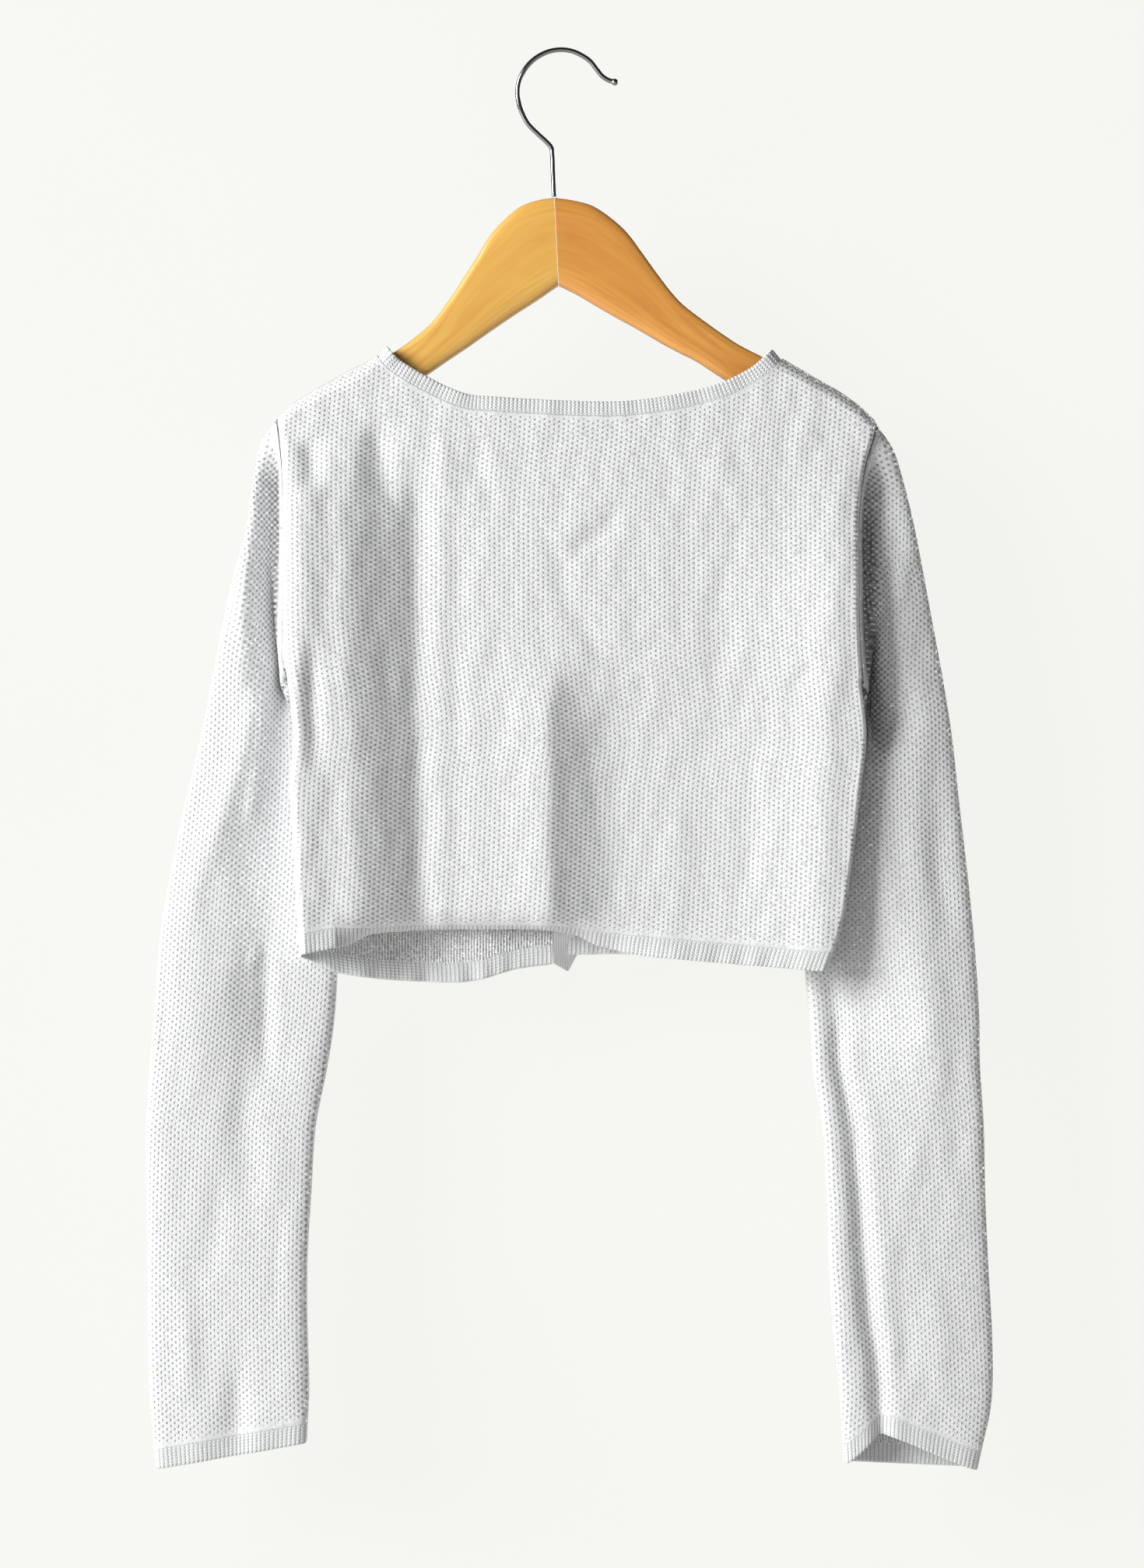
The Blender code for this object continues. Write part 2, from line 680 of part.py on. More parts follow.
def square_side(points, normals, end, side):
    """Turn a side edge's normals flush with the armhole and side seam."""
    outwards = -1.0 if side == 0 else 1.0
    column_points = points[end]
    run = np.gradient(column_points[:, 1:], axis=0)
    normal = np.stack([np.zeros(len(run)), run[:, 1], -run[:, 0]], axis=-1)
    middle = (TIP_Z[side] + UNDERARM_Z[side]) / 2
    away = np.sign(normal[:, 1] * column_points[:, 1]
                   + normal[:, 2] * (column_points[:, 2] - middle) / 60.0)
    normal = unit(normal * away[:, None])
    normal[0] = (0.0, 0.0, 1.0)
    normal[UNDERARM_INDEX] = (outwards * 0.7, 0.0, -0.7)
    normal[UNDERARM_INDEX + 1:] = (outwards, 0.0, 0.0)
    normals[end] = unit(normal)
    return normals


def back_top(x):
    """Top edge of the back: shoulder seams and neck seam."""
    on_neck = (x > NECK_CORNERS_X[0]) & (x < NECK_CORNERS_X[1])
    return np.where(on_neck, curve(BACK_NECK, x), straight(SHOULDER_RIDGE, x))


def lower_top(x):
    """Top edge of the front that lies under."""
    on_neck = x > NECK_CORNERS_X[0]
    return np.where(on_neck, lower_neck(x), straight(SHOULDER_RIDGE, x))


def upper_top(x):
    """Top edge of the front that lies on top."""
    on_neck = x < NECK_CORNERS_X[1]
    return np.where(on_neck, upper_neck(x), straight(SHOULDER_RIDGE, x))


def back_x(share, z):
    """Column of the back: a share of the way from edge to edge."""
    return side_x(0, z) + (side_x(1, z) - side_x(0, z)) * share


def lower_x(share, z):
    """Column of the lower front, from its side seam to its band."""
    return side_x(0, z) + (LOWER_PANEL_END_X - side_x(0, z)) * share


def upper_x(share, z):
    """Column of the upper front, from its side seam to its band."""
    return side_x(1, z) + (UPPER_PANEL_END_X - side_x(1, z)) * share


def back_grid():
    """Back panel in one piece."""
    width = side_x(1, TIP_Z[1]) - side_x(0, TIP_Z[0])
    left, right = [(c - side_x(0, TIP_Z[0])) / width for c in NECK_CORNERS_X]
    near_left = [left + step for step in CORNER_STEPS]
    near_right = [right - step for step in reversed(CORNER_STEPS)]
    middle = list(np.linspace(left + 0.05, right - 0.05, BACK_COLUMNS))
    edges = [1 - share for share in reversed(EDGE_COLUMNS)]
    shares = list(EDGE_COLUMNS) + near_left + middle + near_right + edges
    points, normals = panel_grid("back", shares, back_x, back_top,
                                 lambda x: curve(BACK_HEM, x))
    square_side(points, normals, 0, 0)
    square_side(points, normals, -1, 1)
    return points, normals


def front_grid(face, side, x_of, top_of, hem):
    """One front panel, from its side seam to its button band's seam."""
    start = side_x(side, TIP_Z[side])
    corner = (NECK_CORNERS_X[side] - start) / (x_of(1.0, TIP_Z[side]) - start)
    edges = [2 * share for share in EDGE_COLUMNS if 2 * share < 0.9 * corner]
    neck = [corner + (1 - corner) * share for share in FRONT_NECK_COLUMNS]
    points, normals = panel_grid(face, edges + neck, x_of, top_of,
                                 lambda x: curve(hem, x))
    square_side(points, normals, 0, side)
    return points, normals


def band_grid(face, xs, foot):
    """Plain knitted band along a front opening, a column for each x."""
    heights = np.linspace(0.0, 1.0, BAND_ROWS)
    foot = np.asarray(foot, dtype=float)
    z = FRONT_NECK_Z + (foot - FRONT_NECK_Z)[:, None] * heights[None, :]
    x = np.repeat(np.asarray(xs, dtype=float)[:, None], len(heights), axis=1)
    return surface(face, x, z)


# ------------------------------------------------------------- seam lines
def hem_line(grid):
    """Frames along the lower edge of a panel."""
    points, normals = grid
    return hanging(points[:, -1], normals[:, -1])


def neck_line(lower, lower_band, back, upper, upper_band):
    """Frames along the neck seam, from the lower front round the back."""
    left, right = NECK_CORNERS_X
    lines = []
    for grid, keep, backwards in (
            (lower_band, lambda x: x > LOWER_BAND_X[0] + 0.01, True),
            (lower, lambda x: x > left - 0.01, True),
            (back, lambda x: (x > left + 0.01) & (x < right - 0.01), False),
            (upper, lambda x: x < right + 0.01, False),
            (upper_band, lambda x: x < UPPER_BAND_X[1] - 0.01, True)):
        points, normals = grid
        chosen = keep(points[:, 0, 0])
        step = -1 if backwards else 1
        lines.append((points[chosen, 0][::step], normals[chosen, 0][::step]))
    line = np.concatenate([part[0] for part in lines])
    return standing(line, np.concatenate([part[1] for part in lines]))


# ----------------------------------------------------------------- sleeves
def sleeve_rows(side):
    """Ring rows of a sleeve, the armhole's own ring first."""
    out = -ARMHOLE_GAP if side == 0 else ARMHOLE_GAP
    first = (float(edge_x(side, TIP_Z[side])) + out, TIP_Z[side],
             float(edge_x(side, UNDERARM_Z[side])) + out, UNDERARM_Z[side],
             0.0, 0.0, ARMHOLE_HALF_DEPTH)
    return np.array([first] + list(LEFT_SLEEVE if side == 0 else RIGHT_SLEEVE))


def sleeve_surface(side, ring, angle):
    """Points of a sleeve's middle surface.

    A ring is a flattened oval from its outer to its inner end.  Angle 0 is
    the outer end, a quarter turn on is the near face, half is the inner end.
    """
    rows = sleeve_rows(side)
    number = np.arange(len(rows), dtype=float)
    cells = [smooth(number, rows[:, i], ring) for i in range(7)]
    outer_x, outer_z, inner_x, inner_z, outer_y, inner_y, half = cells
    across = np.cos(angle)
    near = np.maximum(np.sin(angle), 0.0) ** 0.5
    share = (1 - across) / 2
    x = outer_x + (inner_x - outer_x) * share
    z = outer_z + (inner_z - outer_z) * share
    step = ease((share - STEP_FROM) / (STEP_TO - STEP_FROM))
    y = outer_y + (inner_y - outer_y) * step
    y = y - np.sign(np.sin(angle)) * half * oval(across)
    out = -ARMHOLE_GAP if side == 0 else ARMHOLE_GAP
    bend = edge_x(side, z) + out - x
    x = x + bend * np.clip(1 - ring / 2, 0, 1) ** 2
    creases = LEFT_CREASES if side == 0 else RIGHT_CREASES
    for ring_top, share_top, ring_bottom, share_bottom, rise, width in creases:
        along = (ring - ring_top) / (ring_bottom - ring_top)
        middle = share_top + (share_bottom - share_top) * along
        fade = ease((ring - ring_top) / 2) * ease((ring_bottom + 2 - ring) / 2)
        y = y - rise * fade * near * np.exp(-((share - middle) / width) ** 2)
    if side == 1:
        climb = np.minimum(share / NOTCH_SHARE, (1 - share) / (1 - NOTCH_SHARE))
        last = len(rows) - 1
        z = z + (NOTCH_RISE * climb * near
                 * ease((ring - NOTCH_FROM_RING) / (last - NOTCH_FROM_RING)))
    return np.stack(np.broadcast_arrays(x, y, z), axis=-1)


def sleeve_normals(side, ring, angle):
    """Outward normals of a sleeve, square to the seam at the armhole."""
    small = 0.01
    last = len(sleeve_rows(side)) - 1
    round_it = (sleeve_surface(side, ring, angle + small)
                - sleeve_surface(side, ring, angle - small))
    low = np.clip(ring - small, 0, last)
    high = np.clip(ring + small, 0, last)
    down_it = sleeve_surface(side, high, angle) - sleeve_surface(side, low, angle)
    normals = np.cross(round_it, down_it)
    if side == 1:
        normals = -normals
    at_armhole = np.broadcast_to(ring, normals.shape[:-1]) == 0
    normals[at_armhole, 0] = 0.0
    return unit(normals)


def sleeve_grid(side):
    """Rings of a whole sleeve, point by point round each of them."""
    rings = np.arange(len(sleeve_rows(side)), dtype=float)
    angle = 2 * math.pi * np.arange(SLEEVE_SIDES) / SLEEVE_SIDES
    points = sleeve_surface(side, rings[None, :], angle[:, None])
    return points, sleeve_normals(side, rings[None, :], angle[:, None])


def build_sleeve(name, points, normals, material):
    """A sleeve as two solids, one above the other, that meet at one ring."""
    upper = slice(0, SPLIT_RING + 1)
    lower = slice(SPLIT_RING, None)
    below = points[:, lower].copy()
    below[:, 0, 2] -= SEAM_GAP
    cloth_wall(f"{name}_upper_arm", points[:, upper], normals[:, upper], material,
               closed=True)
    cloth_wall(f"{name}_lower_arm", below, normals[:, lower], material, closed=True)


# ------------------------------------------------------------------ hanger
def loft(name, rings, material, sharp_angle=50.0):
    """Closed solid through rings of equal point counts, with flat ends."""
    count, sides = rings.shape[:2]
    index = np.arange(count * sides).reshape(count, sides)
    faces = []
    for i in range(count - 1):
        faces += strip_faces(index[i], index[i + 1], True)
    faces.append(tuple(index[0]))
    faces.append(tuple(index[-1]))
    faces = [tuple(int(i) for i in face) for face in faces]
    return make_object(name, rings.reshape(-1, 3), faces, material, sharp_angle)


def build_arm(name, table, material):
    """One wooden arm: rounded sections from the mitre to the tip."""
    angle = 2 * math.pi * (np.arange(ARM_SIDES) + 0.5) / ARM_SIDES
    up = np.sign(np.cos(angle)) * np.abs(np.cos(angle)) ** ARM_ROUNDING
    out = np.sign(np.sin(angle)) * np.abs(np.sin(angle)) ** ARM_ROUNDING
    up = up / np.abs(up).max()
    out = out / np.abs(out).max()
    rings = []
    for top_x, top_z, bottom_x, bottom_z, half in table:
        x = (top_x + bottom_x) / 2 + (top_x - bottom_x) / 2 * up
        z = (top_z + bottom_z) / 2 + (top_z - bottom_z) / 2 * up
        rings.append(np.stack([x, half * out, z], axis=-1))
    return loft(name, np.array(rings), material)


def build_hook(material):
    """Bent wire hook with a ball at its tip."""
    rows = np.array(HOOK_LINE)
    run = np.linalg.norm(np.diff(rows, axis=0), axis=1)
    run = np.concatenate([[0.0], np.cumsum(run)])
    at = np.linspace(0.0, run[-1], HOOK_STEPS)
    ball = np.array([-0.94, -0.75, -0.4, 0.0, 0.4, 0.72]) * HOOK_BALL_RADIUS
    x = smooth(run, rows[:, 0], at)
    z = smooth(run, rows[:, 1], at)
    line = np.stack([x, np.zeros_like(x), z], axis=-1)
    ahead = unit(np.gradient(line, axis=0))
    start = line[0] + ball[:, None] * ahead[0]
    line = np.concatenate([start, line[2:]])
    ahead = np.concatenate([np.repeat(ahead[:1], len(ball), axis=0), ahead[2:]])
    radius = np.full(len(line), HOOK_WIRE_RADIUS)
    radius[:len(ball)] = np.sqrt(HOOK_BALL_RADIUS ** 2 - ball ** 2)
    side = np.array([0.0, 1.0, 0.0])
    lift = np.cross(ahead, side)
    angle = 2 * math.pi * np.arange(HOOK_SIDES) / HOOK_SIDES
    rings = (line[:, None]
             + radius[:, None, None] * np.cos(angle)[None, :, None] * side
             + radius[:, None, None] * np.sin(angle)[None, :, None] * lift[:, None])
    return loft("hook", rings, material)


def build_button(name, z, material):
    """Turned button with a dished face, lying on the upper band."""
    face_y = FRONT_DEPTH + OVERLAP_LIFT + CLOTH / 2 + SEAM_GAP
    angle = 2 * math.pi * np.arange(BUTTON_SIDES) / BUTTON_SIDES
    rings = []
    for radius, height in BUTTON_PROFILE[1:-1]:
        x = radius * np.cos(angle)
        rings.append(np.stack([x, np.full_like(x, height), radius * np.sin(angle)], axis=-1))
    item = loft(name, np.array(rings), material, 30.0)
    item.location = Vector((BUTTON_X, face_y, z)) * MM
    return item


def main():
    """Clear the scene and build every piece."""
    for item in list(bpy.data.objects):
        bpy.data.objects.remove(item, do_unlink=True)
    knit = make_material("silver_grey_knit", (0.62, 0.63, 0.66), 0.85)
    rib = make_material("silver_grey_rib", (0.60, 0.61, 0.64), 0.85)
    wood = make_material("varnished_wood", (0.67, 0.33, 0.09), 0.35)
    chrome = make_material("bright_wire", (0.80, 0.80, 0.82), 0.12, 1.0)
    shell = make_material("pearl_grey_button", (0.70, 0.70, 0.72), 0.30)

    back = back_grid()
    lower = front_grid("lower_front", 0, lower_x, lower_top, LOWER_FRONT_HEM)
    upper = front_grid("upper_front", 1, upper_x, upper_top, UPPER_FRONT_HEM)
    lower_xs = (LOWER_BAND_X[0], LOWER_BAND_TIP[0], LOWER_BAND_X[1])
    lower_foot = (LOWER_BAND_FOOT_Z, LOWER_BAND_TIP[1], LOWER_BAND_CORNER_Z)
    lower_band = band_grid("lower_front", lower_xs, lower_foot)
    upper_foot = (UPPER_BAND_FOOT_Z, UPPER_BAND_FOOT_Z)
    upper_band = band_grid("upper_front", UPPER_BAND_X, upper_foot)
    cloth_wall("back", *back, knit)
    cloth_wall("front_left", *lower, knit)
    cloth_wall("front_right", *upper, knit)
    cloth_wall("button_band", *lower_band, knit)
    cloth_wall("buttonhole_band", *upper_band, knit)

    ribbed_band("back_hem", hem_line(back), HEM_DEPTH, HEM_RIB_PITCH, rib,
                roll=HEM_CURL)
    ribbed_band("front_left_hem", hem_line(lower), HEM_DEPTH, HEM_RIB_PITCH, rib)
    ribbed_band("front_right_hem", hem_line(upper), HEM_DEPTH, HEM_RIB_PITCH, rib)
    neck = neck_line(lower, lower_band, back, upper, upper_band)
    ribbed_band("neckband", neck, NECK_DEPTH, NECK_RIB_PITCH, rib)

    for side, name in enumerate(("left", "right")):
        sleeve = sleeve_grid(side)
        build_sleeve(f"sleeve_{name}", *sleeve, knit)
        ribbed_band(f"cuff_{name}", hem_line(sleeve), HEM_DEPTH, HEM_RIB_PITCH,
                    rib, closed=True, gap=CUFF_GAP)

    for number in range(BUTTON_COUNT):
        z = BUTTON_TOP_Z - number * BUTTON_SPACING
        build_button(f"button_{number + 1}", z, shell)

    build_arm("hanger_arm_left", LEFT_ARM, wood)
    build_arm("hanger_arm_right", RIGHT_ARM, wood)
    build_hook(chrome)


main()
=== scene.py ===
"""Child's cropped cardigan in silver-grey lurex knit on a small wooden hanger.

It hangs with its back to the camera, at -Y.  Sizes are in millimetres until a
mesh is made; the hook's inner top is the origin and Z is up.
"""

import math

import bpy
import numpy as np
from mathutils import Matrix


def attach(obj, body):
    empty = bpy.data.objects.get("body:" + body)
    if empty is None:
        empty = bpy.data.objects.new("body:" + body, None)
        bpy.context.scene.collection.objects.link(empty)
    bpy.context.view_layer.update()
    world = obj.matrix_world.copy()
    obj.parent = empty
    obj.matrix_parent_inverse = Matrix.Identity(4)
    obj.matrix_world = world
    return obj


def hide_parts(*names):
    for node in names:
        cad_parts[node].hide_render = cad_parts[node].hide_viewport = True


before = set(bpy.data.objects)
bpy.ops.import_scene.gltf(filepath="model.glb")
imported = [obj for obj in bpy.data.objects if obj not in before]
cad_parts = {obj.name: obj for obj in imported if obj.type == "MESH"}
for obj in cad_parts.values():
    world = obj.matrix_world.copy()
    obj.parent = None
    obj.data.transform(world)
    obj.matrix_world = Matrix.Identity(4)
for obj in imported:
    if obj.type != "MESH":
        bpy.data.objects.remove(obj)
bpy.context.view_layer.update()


# ============================================================ the back panel
# One piece of fine tuck-stitch knit in a grey yarn twisted with a silver
# thread.  It hangs from the hanger's arms in soft folds, is linked to the
# neckband, sleeves and hem band, and its lower edge rolls in at the left.

MM = 0.001
CLOTH = 2.0             # thickness of the knitted wall
BACK_DEPTH = 12.0       # middle of the back's wall behind the hanger plane
BACK_SIDE_RADII = (4.0, 1.4)  # rounding of the back to its left and right seam
SIDE_FLANGE = 1.2       # flat strip along the side seams
TOP_RADIUS = 7.0        # rounding towards the shoulder seams
SHOULDER_COS = 0.84     # cosine of the shoulder slope
SIDE_INSET = 1.6        # side seam inside the armhole's plane
INSET_ABOVE = 12.0      # the seam leaves that plane this far above the underarm
INSET_RUN = 18.0        # and reaches its inset over this height
ARMHOLE_ROW = 0.49      # share of the side edge taken by the armhole
ARMHOLE_HALF_DEPTH = 9.0
OVAL_POWER = 2.6        # armhole and sleeves are flattened ovals
TIP_Z = (-213.3, -216.0)
HEM_END_Z = (-509.9, -519.8)
UNDERARM_Z = tuple(t + ARMHOLE_ROW * (h - t) for t, h in zip(TIP_Z, HEM_END_Z))
NECK_CORNERS_X = (-105.8, 127.4)
FOLD_FADE = 38.0        # a long fold dies out over this length
PANEL_CENTRE_X = 10.0
BACK_COLUMNS = 228
BACK_ROWS = 158
EDGE_CROWDING = 0.7     # how much closer the columns stand at the side edges
TOP_CROWDING = 0.6      # and the rows at the top edge
PLAIN_SIDE = 2.6        # width of the plain linked strip along the armhole
PLAIN_RIGHT = 0.6       # on the back's right side, which is rounded sharply
PLAIN_TOP = 1.6         # along the neck and shoulders
PLAIN_SEAM = 2.4        # and along the other seams
PATTERN_FADE = 1.2      # the pattern comes in over this width
LINKING = 0.9           # width of the dark row where two pieces are linked
FAINT, MIDDLING, DARK = 0.3, 0.5, 0.8  # how dark that row is
SEAM_SHOWS_Z = -275.0   # the armholes' rows are dark only above this height
SEAM_SHOWS_RUN = 30.0

BODY_EDGES = (
    # z, left_x, right_x
    (-213.3, -164.2, 182.7), (-222.8, -162.9, 180.5), (-239.8, -161.1, 175.5),
    (-262.4, -160.7, 172.3), (-302.9, -160.7, 171.9), (-329.9, -160.7, 171.9),
    (-361.4, -159.8, 174.2), (-377.6, -158, 176.8), (-396, -156.2, 178.2),
    (-421.7, -158.4, 175.5), (-455.9, -156.6, 171.5), (-473.4, -155.7, 169.2),
    (-509.9, -153.5, 162.5), (-530.1, -151.7, 155.2),
)
SHOULDER_RIDGE = (
    # x, z
    (-164.7, -213.3), (-154.3, -203.8), (-140, -194.8), (-125.5, -186.8),
    (-111.6, -179.6), (-105.8, -176), (6.3, -106.2), (127.4, -177.8), (144.5, -187.7),
    (160.2, -196.7), (171.9, -204.8), (183.2, -216),
)
BACK_NECK = (
    # x, z
    (-105.8, -176), (-101.2, -182.2), (-91.4, -189.5), (-78.8, -196.7), (-68, -202.1),
    (-53.6, -207), (-40.1, -208.1), (-18, -209.5), (10.3, -210.8), (36, -210.8),
    (50.4, -209.5), (66.2, -207), (81, -203.8), (96.8, -198.9), (108.5, -193.3),
    (116.1, -188.6), (122.9, -182.5), (127.4, -177.8),
)
BACK_HEM = (
    # x, z
    (-152.1, -509.9), (-124.2, -504.4), (-99.5, -502.2), (-54.5, -501.3), (8.6, -503.6),
    (24.3, -506.7), (58.1, -511.7), (80.5, -513.9), (125.5, -517.5), (153.5, -519.8),
)
BACK_STEPS = (
    # x_top, x_bottom, width, z_start, z_full, left_rise, right_rise
    (-110, -97, 46, -200, -295, 11.8, 0),
    (11, 12, 44, -335, -405, 0, -7.5),
    (138, 128, 96, -235, -330, 0, 8),
)
BACK_FOLDS = (
    # x_top, z_top, x_bottom, z_bottom, rise, left, right
    (-149, -222, -151, -560, 2.5, 9, 14),
    (-83, -230, -82, -560, -1.6, 7, 9),
    (-60, -250, -60, -560, -0.7, 6, 7),
    (-8, -340, -8, -560, 2.2, 18, 8),
    (160, -222, 147, -560, 1.5, 16, 10),
    (-143, -330, -142, -425, -2.4, 5, 6),
)
STEP_TOP_Z = -200.0     # heights between which a step's line leans
STEP_FOOT_Z = -530.0
# Small creases on the back, each a straight stroke that fades at both ends.
BACK_CREASES = (
    # x_start, z_start, x_end, z_end, rise, half_width
    (1.8, -298, 38, -262, -0.9, 5.5),
    (-8, -292, 28, -254, 0.5, 6),
    (-6, -276, 10, -338, -0.9, 6),
    (6, -326, 40, -364, -0.8, 7),
    (32, -362, 62, -334, -0.7, 6),
    (-52, -226, -36, -272, -0.5, 6.5),
    (-44, -222, -28, -262, 0.3, 6.5),
    (58, -226, 62, -268, -0.6, 5.5),
    (-145, -220, -143, -258, -2.3, 7),
    (-108, -208, -102, -266, -2.3, 8.5),
    (-66, -214, -70, -262, 0.8, 5),
    (-104, -330, -96, -392, -0.5, 4.5),
    (-110, -400, -99, -478, 0.5, 5),
    (14, -384, 22, -450, -0.4, 5),
    (84, -226, 108, -268, 0.7, 7),
    (92, -300, 88, -372, -0.6, 8),
    (112, -410, 106, -500, -0.8, 8),
    (70, -430, 66, -500, 0.7, 8),
    (150, -350, 128, -372, -0.7, 4),
    (132, -210, 150, -232, 0.3, 6),
)
# Where the lower edge rolls inwards, and how far.
HEM_CURL = (
    # x, share
    (-165, 0), (-130, 0.04), (-119, 0.5), (-108, 0.96), (-60, 1), (-6, 1), (8, 0.9),
    (20, 0.6), (40, 0.28), (66, 0), (170, 0),
)
FOLD_SHADE = 0.3         # how much painted shade the folds' right sides, turned from the light, take
ROLL_LENGTH = 14.0      # cloth above the hem seam that turns with the roll
ROLL_ANGLE = 52.0       # degrees it has turned at the seam
ROLL_DROP = 4.0         # how much lower the seam would hang if it lay flat


def column(table, index):
    """One named column of a table."""
    return np.array([row[index] for row in table], dtype=float)


def smooth(keys, values, at):
    """Cubic through the values at rising keys, held flat outside them."""
    slopes = np.gradient(values, keys)
    at = np.clip(at, keys[0], keys[-1])
    cell = np.clip(np.searchsorted(keys, at) - 1, 0, len(keys) - 2)
    span = keys[cell + 1] - keys[cell]
    t = (at - keys[cell]) / span
    start = (2 * t ** 3 - 3 * t ** 2 + 1) * values[cell]
    start = start + (t ** 3 - 2 * t ** 2 + t) * span * slopes[cell]
    end = (3 * t ** 2 - 2 * t ** 3) * values[cell + 1]
    return start + end + (t ** 3 - t ** 2) * span * slopes[cell + 1]


def curve(table, at, index=1):
    """Smooth value of a table's column at values of its first column."""
    order = np.argsort(column(table, 0))
    return smooth(column(table, 0)[order], column(table, index)[order], at)


def straight(table, at):
    """Value of a table's second column with straight runs between rows."""
    return np.interp(at, column(table, 0), column(table, 1))


def ease(t):
    """Zero below 0, one above 1, and a soft S between: 3t^2 - 2t^3."""
    t = np.clip(t, 0.0, 1.0)
    return t * t * (3 - 2 * t)


def quarter_round(t):
    """Height of a quarter circle at the share t of its radius."""
    t = np.clip(t, 0.0, 1.0)
    return np.sqrt(1 - (1 - t) ** 2)


def oval(c):
    """Half-thickness share of a flattened oval at c, from -1 to 1."""
    return (1 - np.abs(np.clip(c, -1, 1)) ** OVAL_POWER) ** (1 / OVAL_POWER)


def unit(vectors):
    """Vectors scaled to length one."""
    length = np.linalg.norm(vectors, axis=-1, keepdims=True)
    return vectors / np.maximum(length, 1e-9)


def edge_x(side, z):
    """Armhole or side edge in the body's outline; side 0 left, 1 right."""
    return curve(BODY_EDGES, z, 1 + side)


def side_x(side, z):
    """Middle of the wall at the side edge, drawn in under the armhole."""
    inset = SIDE_INSET * ease((UNDERARM_Z[side] + INSET_ABOVE - z) / INSET_RUN)
    return edge_x(side, z) + (inset if side == 0 else -inset)


def armhole_depth(side, z):
    """Half-depth of the armhole's oval at a height, nothing outside it."""
    share = (TIP_Z[side] - z) / (TIP_Z[side] - UNDERARM_Z[side])
    return ARMHOLE_HALF_DEPTH * oval(2 * np.clip(share, 0, 1) - 1)


def folds(table, x, z):
    """Long folds: a bell-shaped swell, of another width on each side, about a
    line from top to bottom, fading in at its ends."""
    total = np.zeros(np.broadcast(x, z).shape)
    for x_top, z_top, x_bottom, z_bottom, rise, left, right in table:
        along = (z_top - z) / (z_top - z_bottom)
        away = x - (x_top + (x_bottom - x_top) * along)
        width = np.where(away < 0, left, right)
        fade = ease((z_top - z) / FOLD_FADE) * ease((z - z_bottom) / FOLD_FADE)
        total = total + rise * fade * np.exp(-(away / width) ** 2)
    return total


def steps(table, x, z):
    """Broad levels: a soft step about a leaning line, with a rise on each side
    of it that grows in from nothing between two heights."""
    total = np.zeros(np.broadcast(x, z).shape)
    for x_top, x_bottom, width, z_start, z_full, left_rise, right_rise in table:
        down = (STEP_TOP_Z - z) / (STEP_TOP_Z - STEP_FOOT_Z)
        across = ease(0.5 + (x - x_top - (x_bottom - x_top) * down) / width)
        grown = ease((z_start - z) / (z_start - z_full))
        total = total + grown * (left_rise + (right_rise - left_rise) * across)
    return total


def creases(table, x, z):
    """Short creases: a bell-shaped swell about a stroke from start to end,
    its height eased to nothing over a third of the stroke at both ends."""
    total = np.zeros(np.broadcast(x, z).shape)
    for x_start, z_start, x_end, z_end, rise, half_width in table:
        run = math.hypot(x_end - x_start, z_end - z_start)
        ahead = ((x_end - x_start) / run, (z_end - z_start) / run)
        along = ((x - x_start) * ahead[0] + (z - z_start) * ahead[1]) / run
        away = (x - x_start) * ahead[1] - (z - z_start) * ahead[0]
        fade = ease(along * 3) * ease((1 - along) * 3)
        total = total + rise * fade * np.exp(-(away / half_width) ** 2)
    return total


def unevenness(x, z, seed, height, length):
    """Soft unevenness of hung knit: a sum of long crossed sine waves whose
    directions and phases are drawn from a seed, mostly running up and down."""
    draw = np.random.default_rng(seed)
    total = np.zeros(np.broadcast(x, z).shape)
    for _ in range(9):
        waves = 2 * math.pi / (length * draw.uniform(0.7, 1.9))
        lean = draw.normal(0.0, 0.5)
        phase = draw.uniform(0, 2 * math.pi)
        bend = 0.8 * np.sin(z / draw.uniform(25, 60) + phase)
        total = total + np.sin(waves * (x + lean * z) + phase + bend)
    return total * height / 3


def sewn_depth(full, x, z, radius):
    """Full depth that fades in a quarter circle to nothing at the shoulder
    ridge, and to the armhole's depth at the side edges, where a narrow flange
    stays at that depth."""
    left_gap = np.maximum(x - side_x(0, z) - SIDE_FLANGE, 0.0)
    right_gap = np.maximum(side_x(1, z) - SIDE_FLANGE - x, 0.0)
    near_left = left_gap < right_gap
    edge = np.where(near_left, armhole_depth(0, z), armhole_depth(1, z))
    below_ridge = (straight(SHOULDER_RIDGE, x) - z) * SHOULDER_COS
    roundness = quarter_round(np.minimum(left_gap, right_gap) / radius)
    roundness = roundness * quarter_round(below_ridge / TOP_RADIUS)
    return np.maximum(edge + (full - edge) * roundness, 0.1)


def back_depth(x, z):
    """Middle of the back's wall behind the hanger plane."""
    full = BACK_DEPTH + steps(BACK_STEPS, x, z) + folds(BACK_FOLDS, x, z)
    full = full + creases(BACK_CREASES, x, z) + unevenness(
        x, z, seed=11, height=0.15, length=17.0)
    radius = np.where(x < PANEL_CENTRE_X, *BACK_SIDE_RADII)
    return sewn_depth(full, x, z, radius)


def grid_normals(points, outwards, closed=False):
    """Normals of a grid of points: the cross product of its two directions,
    turned to the side that the vectors outwards point to."""
    if closed:
        across = np.roll(points, -1, axis=0) - np.roll(points, 1, axis=0)
    else:
        across = np.gradient(points, axis=0)
    normals = unit(np.cross(across, np.gradient(points, axis=1)))
    side = np.sign(np.sum(normals * outwards, axis=-1, keepdims=True))
    return normals * np.sign(np.sum(side))


def crowded(count, crowding):
    """Shares from 0 to 1 that stand closer together at both ends."""
    s = np.linspace(0.0, 1.0, count)
    return s - crowding * np.sin(2 * math.pi * s) / (2 * math.pi)


